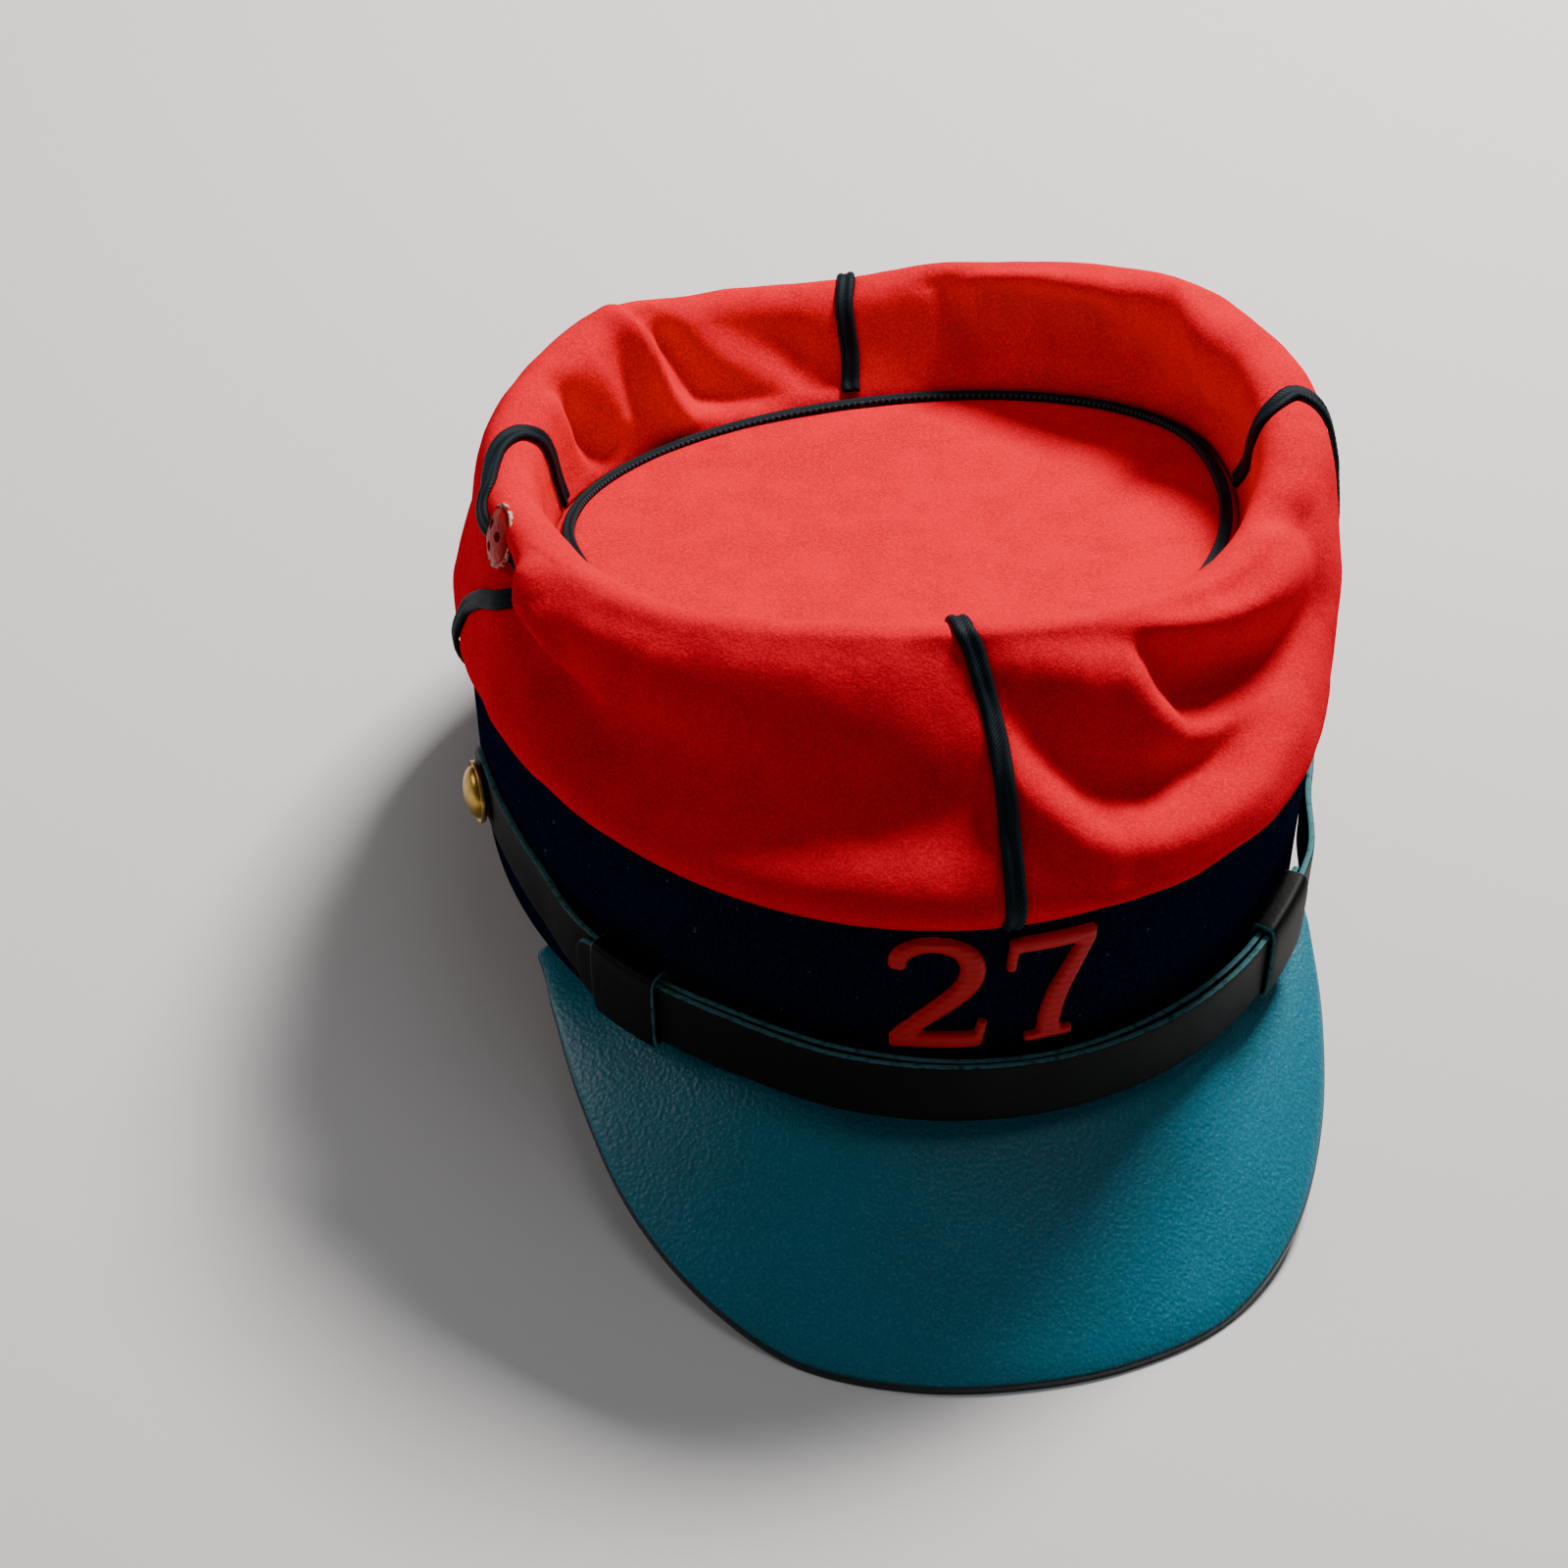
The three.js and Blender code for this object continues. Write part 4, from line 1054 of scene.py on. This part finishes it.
@dataclass(frozen=True)
class SunkenTop:
    """The crown's top piece, which has sunk inside the wall."""

    cloth: float = 1.6
    tuck: float = 1.2
    turn_from: float = 0.955
    turn_down: float = 1.6
    waves: tuple[tuple[float, float, float], ...] = ((0.5, 34, 5.2), (0.12, 8, 2.6))
    rings: int = 60
    spokes: int = 200

    def surface(self, u: Array, w: Array) -> Array:
        """Its face, a little lower in the middle and turned down at its edge.

        Args:
            u: How far round, from 0 to 1.
            w: How far out, from 0 to 1.

        Returns:
            The points there.
        """
        share = w * (1 + self.tuck / TOP.oval.back)
        points = TOP.point(360 * u - 180, share)
        sag = TOP.sag * (1 - smooth_step(0.0, 1.0, share)) + self.turn_down * smooth_step(self.turn_from, 1.0, w)
        points[:, 2] += ripples(points, self.waves) - sag
        return points

    def build(self) -> None:
        """Makes and dresses it."""
        piece = bent_grid("wool_top", self.spokes, self.rings, lambda u, w: self.surface(1 - u, w), (430, 60))
        thicken(piece, self.cloth)
        dress(piece, RED_WOOL, "crown_top")
        log.info("crown top %s", piece.name)


@dataclass(frozen=True)
class Braids:
    """Flat braid of two cords side by side, on the seams and round the sunken top."""

    width: float = 4.0
    height: float = 1.3
    strand: float = 0.9
    relief: float = 0.035
    slant: float = 0.55
    # Shares of the height: between the cords, and at the braid's two edges
    valley: float = 0.3
    selvedge: float = 0.15
    # Stitches show from this share of the width outwards
    stitched_from: float = 0.36
    sunk: float = 0.1
    seam_end: float = 0.96
    top_width: float = 2.6
    top_gap: float = 0.4
    step: float = 0.55
    around_section: int = 22

    def section(self, turns: Array, width: float) -> tuple[Array, Array, Array]:
        """The braid's section as a closed curve.

        Args:
            turns: Where on the curve, from 0 to 1; the first half is its two ridges.
            width: The braid's width.

        Returns:
            The place across, the height, and how much of a ridge each point is.
        """
        turns = np.mod(turns, 1)
        top = turns < 0.5
        x = np.cos(2 * np.pi * turns)
        ridge = np.sqrt(np.maximum(0, 1 - (2 * np.abs(x) - 1) ** 2))
        y = np.where(top, self.height * (self.valley + (1 - self.valley) * ridge), 0.0)
        y = np.where(top & (np.abs(x) > 0.985), self.selvedge * self.height, y)
        return x * width / 2, y, np.where(top, ridge, 0.0)

    def sweep(self, name: str, route: Callable[[Array], tuple[Array, Array, Array]], length: float,
              width: float, stitched: bool) -> bpy.types.Object:
        """Sweeps the section along a route.

        Args:
            name: The piece's name.
            route: For shares of the route, its points, the directions across it and those away from the cloth.
            length: The route's length.
            width: The braid's width.
            stitched: Whether its stitches show along both sides.

        Returns:
            The braid.
        """
        steps = round(length / self.step)
        turns = round(length / self.strand)

        def place_braid(u: Array, w: Array) -> Array:
            middle, across, out = route(u)
            x, y, ridge = self.section(w, width)
            strands = np.sin(2 * np.pi * (u * turns + np.abs(x) * self.slant))
            y = y + self.relief * strands * ridge
            return middle + across * x[:, None] + out * y[:, None]

        marks = {
            "ridge": lambda u, w: self.section(w, 1)[2],
            "edge": lambda u, w: 1.0 * (stitched & (np.abs(self.section(w, 1)[0]) > self.stitched_from) & (w < 0.5)),
        }
        return bent_grid(name, steps, self.around_section, place_braid, (length, 12), closed=True, marks=marks)

    def seam_braid(self, seam: Seam, low: float, high: float) -> None:
        """Lays one braid over a seam.

        Args:
            seam: The seam.
            low: The place up the wall where the braid starts.
            high: The place where it ends.
        """
        dense = np.linspace(low, high, 400)
        points = CROWN.face(seam.at(dense), dense)
        run = np.concatenate([[0], np.cumsum(np.linalg.norm(np.diff(points, axis=0), axis=1))])

        def route(u: Array) -> tuple[Array, Array, Array]:
            place = np.interp(u * run[-1], run, dense)
            azimuth = seam.at(place)
            out = CROWN.normal(CROWN.face, azimuth, place)
            step = CROWN.face(seam.at(place + 0.01), place + 0.01) - CROWN.face(seam.at(place - 0.01), place - 0.01)
            across = unit(np.cross(step, out))
            return CROWN.rumpled(azimuth, place) - self.sunk * out, across, out

        name = seam.value[0]
        piece = self.sweep(f"cord_{name}", route, run[-1], self.width, stitched=False)
        dress(piece, NAVY_BRAID, f"braid_{name}")
        log.info("seam braid %s, %.0f mm", piece.name, run[-1])

    def top_braid(self) -> None:
        """Lays the braid round the sunken top, in its corner with the wall."""
        inset = (self.top_width / 2 + self.top_gap) / TOP.oval.back

        def route(u: Array) -> tuple[Array, Array, Array]:
            azimuth = 360 * u - 180
            middle, outer = TOP.point(azimuth, 1 - inset + 0 * u), TOP.point(azimuth, np.ones(u.shape))
            across = outer - middle
            across[:, 2] = 0
            out = np.tile([0.0, 0.0, 1.0], (len(u), 1))
            return middle + self.sunk * out, unit(across), out

        dense = TOP.point(np.linspace(-180, 180, 721), 1 - inset + np.zeros(721))
        length = float(np.linalg.norm(np.diff(dense, axis=0), axis=1).sum())
        piece = self.sweep("cord_top", route, length, self.top_width, stitched=True)
        dress(piece, NAVY_BRAID, "top_braid")
        log.info("top braid %s, %.0f mm", piece.name, length)

    def build(self) -> None:
        """Makes and dresses all five braids."""
        for seam in Seam:
            self.seam_braid(seam, 0.0, self.seam_end)
        self.top_braid()


@dataclass(frozen=True)
class Band:
    """The stiff band of dark cloth, folded over its two edges."""

    squareness: float = 9
    waves: tuple[tuple[float, float, float], ...] = ((0.3, 30, 4.4), (0.08, 7, 9.1))
    columns: int = 300
    section: int = 40

    def surface(self, u: Array, w: Array) -> Array:
        """Its closed section, carried round the head.

        Args:
            u: How far round the head, from 0 to 1.
            w: How far round the section, from 0 to 1.

        Returns:
            The points there.
        """
        z, off = soft_box(w, BAND.height / 2, BAND.thickness / 2, self.squareness)
        azimuth = 360 * u - 180
        points = BAND.point(azimuth, BAND.height / 2 + z, off - BAND.thickness / 2)
        fade = 1 - smooth_step(0.8, 1.0, np.abs(z) / (BAND.height / 2))
        out = BAND.point(azimuth, 0 * z, 1.0) - BAND.point(azimuth, 0 * z)
        return points + out * (ripples(points, self.waves) * fade)[:, None]

    def build(self) -> None:
        """Makes and dresses it."""
        piece = bent_grid("wool_band", self.columns, self.section, self.surface, (560, 95), closed=True)
        dress(piece, NAVY_WOOL, "band")
        log.info("band %s", piece.name)


@dataclass(frozen=True)
class VisorSection:
    """The visor at one azimuth: its reach past the band, and its edge's height above the ground."""

    azimuth: float
    reach: float
    lift: float


VISOR_SECTIONS = (
    VisorSection(-67, 2.0, 19.4), VisorSection(-60, 6.4, 19.6), VisorSection(-50, 14.4, 15.2),
    VisorSection(-40, 23.2, 8.4), VisorSection(-30, 30.6, 3.3), VisorSection(-20, 36.2, 0.0),
    VisorSection(-10, 38.0, 0.0), VisorSection(0, 38.3, 0.0), VisorSection(10, 38.6, 0.0),
    VisorSection(20, 37.6, 0.0), VisorSection(30, 32.6, 3.3), VisorSection(40, 24.0, 8.4),
    VisorSection(50, 14.2, 15.2), VisorSection(60, 5.8, 19.6), VisorSection(67, 2.0, 19.4),
)


@dataclass(frozen=True)
class Visor:
    """The leather visor: it swells above the straight line to its edge, and its edge turns down."""

    thickness: float = 2.0
    arch: float = 0.12
    gap: float = 0.15
    tuck: float = 1.6
    # The edge rolls over within these two distances of it, less where the visor is short
    roll: float = 6.0
    roll_end: float = 2.0
    roll_lift: float = 1.2
    full_reach: float = 20.0
    thinning: float = 0.25
    thin_within: float = 1.2
    squareness: float = 24
    columns: int = 220
    section: int = 96

    def surface(self, u: Array, w: Array) -> Array:
        """Its closed section: out along the top, round the edge, and back underneath.

        Args:
            u: How far round the head, from 0 to 1.
            w: How far round the section, from 0 to 1.

        Returns:
            The points there.
        """
        first, last = VISOR_SECTIONS[0].azimuth, VISOR_SECTIONS[-1].azimuth
        azimuth = first + (last - first) * u
        reach = along_table(VISOR_SECTIONS, "reach", azimuth)
        lift = np.maximum(along_table(VISOR_SECTIONS, "lift", azimuth), 0)
        inner = BAND.point(azimuth, 0 * azimuth)
        away = BAND.point(azimuth, 0 * azimuth, 1.0) - inner
        inner, reach = inner - away * self.tuck, reach + self.tuck
        slope = math.tan(math.radians(FRAME.tip_back))
        # Along and through the section: t from the root to the edge, h from -1 underneath to 1 on top
        t, h = soft_box(w, 1, 1, self.squareness)
        t = (t + 1) / 2
        edge = inner + away * reach[:, None]
        floor = -(BAND.oval.back - edge[:, 1]) * slope + lift
        root = -self.gap - self.thickness
        flat = inner + away * (reach * t)[:, None]
        line = root + (floor - root) * t + self.arch * reach * t * (1 - t)
        from_edge = reach * (1 - t)
        rolled = np.exp(-from_edge / self.roll) - np.exp(-from_edge / self.roll_end)
        roll = self.roll_lift * np.clip(reach / self.full_reach, 0, 1) * rolled
        thin = self.thickness * (1 - self.thinning * np.exp(-from_edge / self.thin_within))
        flat[:, 2] = line + roll + thin * (h + 1) / 2
        return flat

    def edge_mark(self, u: Array, w: Array) -> Array:
        """1 on the cut edge, 0 elsewhere."""
        return smooth_step(0.975, 0.999, soft_box(w, 1, 1, self.squareness)[0])

    def build(self) -> None:
        """Makes and dresses it."""
        piece = bent_grid("leather_visor", self.columns, self.section, self.surface, (230, 90), closed=True,
                          marks={"edge": self.edge_mark})
        dress(piece, VISOR_LEATHER, "visor")
        log.info("visor %s", piece.name)


@dataclass(frozen=True)
class StrapHeight:
    """How high the strap's lower edge lies on the band at one azimuth."""

    azimuth: float
    low: float


STRAP_HEIGHTS = (
    StrapHeight(-88, 13), StrapHeight(-76, 12), StrapHeight(-62, 8.4), StrapHeight(-48, 6),
    StrapHeight(-33, 5.6), StrapHeight(-20, 3.4), StrapHeight(0, 1.4), StrapHeight(14, 0.8),
    StrapHeight(40, 2), StrapHeight(56, 7), StrapHeight(75, 14.5), StrapHeight(88, 20),
)


@dataclass(frozen=True)
class ChinStrap:
    """The chin strap: two layers of leather in front, held together by two sliders."""

    height: float = 13.6
    thickness: float = 1.6
    stand_off: float = 1.8
    end_off: float = 0.1
    gap: float = 0.3
    button_azimuth: float = 83.0
    past_button: float = 5.0
    slider_azimuth: float = 47.0
    past_slider: float = 8.0
    slider_width: float = 14.0
    slider_leather: float = 1.2
    slider_room: float = 0.9
    strap_squareness: float = 7
    slider_squareness: float = 6
    loop_squareness: float = 5
    # The layers' ends are rounded over this length, down to this share of the height
    corner: float = 5.0
    corner_height: float = 0.45
    # Between these azimuths a layer comes in to the band, on its way to its button
    come_in: tuple[float, float] = (55.5, 66.0)
    wave: float = 0.18
    wave_run: float = 7.3

    def low(self, azimuth: Array) -> Array:
        """Height of the strap's lower edge."""
        return along_table(STRAP_HEIGHTS, "low", azimuth)

    def cut_edge(self, squareness: float) -> Mark:
        """1 on the cut edges of a strip, 0 on its faces."""
        return lambda u, w: smooth_step(0.955, 0.995, np.abs(soft_box(w, 1, 1, squareness)[0]))

    def layer(self, name: str, start: float, end: float, off: float, side: int, node: str) -> None:
        """Makes and dresses one layer of the strap.

        Args:
            name: The piece's name.
            start: The azimuth that it starts at.
            end: The azimuth that it ends at.
            off: How far it stands off the band in front.
            side: 1 where the layer runs to the right button, or -1 to the left one.
            node: The solid that it replaces.
        """
        length = (end - start) * BAND.per_degree()

        def place_strap(u: Array, w: Array) -> Array:
            azimuth = start + (end - start) * u
            x, y = soft_box(w, self.height / 2, self.thickness / 2, self.strap_squareness)
            from_end = np.minimum(u, 1 - u) * length
            corner = np.clip(from_end / self.corner, 0, 1)
            x = x * (self.corner_height + (1 - self.corner_height) * np.sqrt(1 - (1 - corner) ** 2))
            come_in = smooth_step(*self.come_in, side * azimuth)
            away = off + (self.end_off - off) * come_in
            wave = self.wave * np.sin(azimuth / self.wave_run + off) * (1 - come_in)
            return BAND.point(azimuth, self.low(azimuth) + self.height / 2 + x, away + self.thickness / 2 + y + wave)

        piece = bent_grid(name, round(length / 1.2), 44, place_strap, (length, 30), closed=True,
                          marks={"edge": self.cut_edge(self.strap_squareness)})
        dress(piece, STRAP_LEATHER, node)
        log.info("strap layer %s, %.0f mm", piece.name, length)

    def slider(self, name: str, azimuth: float, node: str) -> None:
        """Makes and dresses a loop of leather round both layers.

        Args:
            name: The piece's name.
            azimuth: The azimuth of its middle.
            node: The solid that it replaces.
        """
        inside = self.stand_off - self.gap
        outside = self.stand_off + 2 * self.thickness + 2 * self.gap
        half_z = self.height / 2 + self.slider_room + self.slider_leather / 2
        half_off = (outside - inside) / 2 + self.slider_leather / 2
        middle_off = (outside + inside) / 2

        def path(turns: Array) -> Array:
            return np.stack(soft_box(turns, half_z, half_off, self.loop_squareness), axis=-1)

        def place_loop(u: Array, w: Array) -> Array:
            across, through = soft_box(w, self.slider_width / 2, self.slider_leather / 2, self.slider_squareness)
            at = path(u)
            step = path(np.mod(u + 0.004, 1)) - path(np.mod(u - 0.004, 1))
            out = unit(np.stack([step[:, 1], -step[:, 0]], axis=-1))
            at = at + out * through[:, None]
            here = azimuth + across / BAND.per_degree()
            z = self.low(here) + self.height / 2 + at[:, 0]
            return BAND.point(here, z, middle_off + at[:, 1])

        piece = bent_grid(name, 120, 40, place_loop, (44, 30), closed=True,
                          marks={"edge": self.cut_edge(self.slider_squareness)})
        dress(piece, STRAP_LEATHER, node)
        log.info("slider %s", piece.name)

    def build(self) -> None:
        """Makes and dresses both layers and both sliders."""
        end = self.button_azimuth + self.past_button
        reach = self.slider_azimuth + self.past_slider
        over = self.stand_off + self.thickness + self.gap
        self.layer("leather_strap_under", -end, reach, self.stand_off, -1, "strap_under")
        self.layer("leather_strap_over", -reach, end, over, 1, "strap_over")
        self.slider("leather_slider_left", -self.slider_azimuth, "slider_left")
        self.slider("leather_slider_right", self.slider_azimuth, "slider_right")


@dataclass(frozen=True)
class Trim:
    """The small turned pieces: two brass buttons and the vent's grommet."""

    radius: float = 6.5
    # Shares of the radius: where the dome starts, where the rim's roll is centred, and the roll's own radius
    dome_from: float = 0.84
    rim_at: float = 0.94
    rim_roll: float = 0.03
    button_azimuth: float = 83.0
    height_left: float = 19.6
    height_right: float = 27.0
    button_dome: float = 3.5
    button_off: float = 2.4
    grommet_azimuth: float = -80.0
    grommet_place: float = 0.43
    grommet_dome: float = 2.4
    hole_radius: float = 1.0
    hole_at: float = 2.6

    def dome(self, rim: float, height: float, steps: int) -> list[tuple[float, float]]:
        """A dome's profile inside its rolled rim.

        Args:
            rim: The height at which it starts.
            height: Its height.
            steps: Its number of points.

        Returns:
            Radius and height of each point, the last on the axis.
        """
        inner = self.radius * self.dome_from
        quarter = [math.pi / 2 * i / steps for i in range(steps + 1)]
        return [(inner * math.cos(a), rim + (height - rim) * math.sin(a)) for a in quarter[:-1]] + [(0.0, height)]

    def rim(self, height: float) -> list[tuple[float, float]]:
        """The flat back and the rolled rim.

        Args:
            height: The rim's height.

        Returns:
            Radius and height of each point, the first on the axis.
        """
        r = self.radius
        roll = [(r * (self.rim_at + self.rim_roll * (1 + math.cos(a))), height * (0.55 + 0.45 * math.sin(a)))
                for a in (-0.9, -0.4, 0.1, 0.6, 1.1, 1.57, 2.2, 2.8)]
        return [(0.0, 0.0), (0.5 * r, 0.0), (self.rim_at * r, 0.0)] + roll

    def button(self, name: str, azimuth: float, height: float) -> None:
        """Makes and dresses one side button.

        Args:
            name: The solid that it replaces.
            azimuth: Where it sits on the band.
            height: Its middle's height on the band.
        """
        at = np.array([azimuth])
        seat = BAND.point(at, np.array([height]), self.button_off)[0]
        out = seat - BAND.point(at, np.array([height]))[0]
        piece = turned(f"brass_{name}", self.rim(1.2) + self.dome(0.9, self.button_dome, 14), 72, None,
                       FRAME.matrix(seat, out))
        dress(piece, BRASS, name)
        log.info("button %s", piece.name)

    def grommet(self) -> None:
        """Makes and dresses the pierced grommet on the left of the crown."""
        at, place = np.array([self.grommet_azimuth]), np.array([self.grommet_place])
        out = CROWN.normal(CROWN.smooth, at, place)[0]
        seat = CROWN.face(at, place)[0] + 0.2 * out
        holes = [Vector((self.hole_at * math.cos(a), self.hole_at * math.sin(a))) for a in (0.4, 2.5, 4.6)]

        def inside(co: Vector) -> float:
            near = min((co.xy - hole).length for hole in holes)
            return float(1 - smooth_step(0.75, 1.1, np.array(near / self.hole_radius))) if co.z > 0.4 else 0.0

        def pierce(co: Vector) -> None:
            co.z -= 1.5 * inside(co)
            if co.z > 0.3:
                co.z += 0.1 * noise.noise(co * 0.9)

        profile = self.rim(1.0) + self.dome(0.8, self.grommet_dome, 26)
        marks = {
            "hole": inside,
            "edge": lambda co: float(smooth_step(0.72, 0.95, np.array(co.xy.length / self.radius))),
        }
        piece = turned("enamel_vent", profile, 96, pierce, FRAME.matrix(seat, out), marks)
        dress(piece, RED_PAINT, "vent_grommet")
        log.info("grommet %s", piece.name)

    def build(self) -> None:
        """Makes and dresses the three pieces."""
        self.button("button_left", -self.button_azimuth, self.height_left)
        self.button("button_right", self.button_azimuth, self.height_right)
        self.grommet()


@dataclass(frozen=True)
class Numerals:
    """The padded numerals on the band's front, rounded from the plain solids."""

    voxel: float = 0.35
    rounds: int = 9

    def build(self, nodes: dict[str, bpy.types.Object]) -> None:
        """Makes and dresses both numerals.

        Args:
            nodes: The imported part's solids by name.
        """
        for name in ("numeral_two", "numeral_seven"):
            bm = bmesh.new()
            bm.from_mesh(nodes[name].data)
            bmesh.ops.remove_doubles(bm, verts=bm.verts, dist=1e-6)
            solid = piece_from(bm, f"stitched_{name}")
            cut = solid.modifiers.new("even", "REMESH")
            cut.mode = "VOXEL"
            cut.voxel_size = self.voxel / 1000
            cut.use_smooth_shade = True
            soften = solid.modifiers.new("round", "SMOOTH")
            soften.factor = 0.6
            soften.iterations = self.rounds
            dress(solid, RED_THREAD, name)
            log.info("numeral %s", solid.name)


# Setting


@dataclass(frozen=True)
class Studio:
    """A pale floor, soft light, and a camera where the photograph was taken from."""

    target: tuple[float, float, float] = (-25.4, -21.5, 20.0)
    azimuth: float = -9.78
    elevation: float = 35.28
    roll: float = 0.26
    distance: float = 809.7
    focal: float = 4038.4
    frame_width: float = 1600.0
    sensor: float = 36.0

    def camera(self) -> None:
        """Places the camera."""
        a, e, r = (math.radians(x) for x in (self.azimuth, self.elevation, self.roll))
        back = Vector((math.sin(a) * math.cos(e), -math.cos(a) * math.cos(e), math.sin(e)))
        level = Vector((math.cos(a), math.sin(a), 0))
        lift = back.cross(level)
        right = level * math.cos(r) + lift * math.sin(r)
        up = lift * math.cos(r) - level * math.sin(r)
        turn = Matrix((right, up, back)).transposed().to_4x4()
        data = bpy.data.cameras.new("view")
        data.sensor_width = self.sensor
        data.lens = self.sensor * self.focal / self.frame_width
        data.clip_end = 20
        camera = bpy.data.objects.new("view", data)
        place = FRAME.world(np.array([Vector(self.target) + back * self.distance]))[0]
        camera.matrix_world = Matrix.Translation(Vector(place)) @ FRAME.turn() @ turn
        bpy.context.scene.collection.objects.link(camera)
        bpy.context.scene.camera = camera

    def lamp(self, name: str, place: tuple[float, float, float], power: float, size: float, colour: str) -> None:
        """Adds a soft lamp that points at the cap.

        Args:
            name: The lamp's name.
            place: Where it stands, in metres.
            power: Its power in watts.
            size: The side of its soft panel, in metres.
            colour: Its sRGB hex colour.
        """
        data = bpy.data.lights.new(name, "AREA")
        data.energy = power
        data.size = size
        data.color = linear(colour)[:3]
        lamp = bpy.data.objects.new(name, data)
        lamp.location = place
        lamp.rotation_euler = (Vector((0, 0, 0.05)) - Vector(place)).to_track_quat("-Z", "Y").to_euler()
        bpy.context.scene.collection.objects.link(lamp)

    def floor(self) -> None:
        """Lays the pale floor."""
        bm = bmesh.new()
        bmesh.ops.create_grid(bm, x_segments=1, y_segments=1, size=3)
        floor = piece_from(bm, "floor")
        material = bpy.data.materials.new("pale_floor")
        material.use_nodes = True
        shader = material.node_tree.nodes["Principled BSDF"]
        shader.inputs["Base Color"].default_value = linear("#d6d6d6")
        shader.inputs["Roughness"].default_value = 0.9
        floor.data.materials.append(material)

    def build(self) -> None:
        """Sets everything up."""
        self.camera()
        self.floor()
        self.lamp("key", (0.50, 0.60, 0.98), 32, 0.3, "#fffaf6")
        self.lamp("top", (0.25, 0.0, 1.3), 2.6, 0.8, "#f4faff")
        self.lamp("left", (-1.05, 0.35, 0.62), 3.0, 0.5, "#fff8f4")
        self.lamp("front", (-0.3, -1.2, 0.9), 0.25, 0.6, "#eef4ff")
        world = bpy.data.worlds.new("studio")
        world.use_nodes = True
        back = world.node_tree.nodes["Background"]
        back.inputs["Color"].default_value = linear("#f4f6fa")
        back.inputs["Strength"].default_value = 0.06
        bpy.context.scene.world = world


def main(frame: dict) -> None:
    """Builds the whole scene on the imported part.
    """
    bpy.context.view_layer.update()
    Studio().build()
    CROWN.build()
    SunkenTop().build()
    Braids().build()
    Band().build()
    Visor().build()
    ChinStrap().build()
    Trim().build()
    Numerals().build(frame["nodes"])


if __name__ == "__main__":
    logging.basicConfig(level=logging.INFO, format="%(message)s")
    main(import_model())
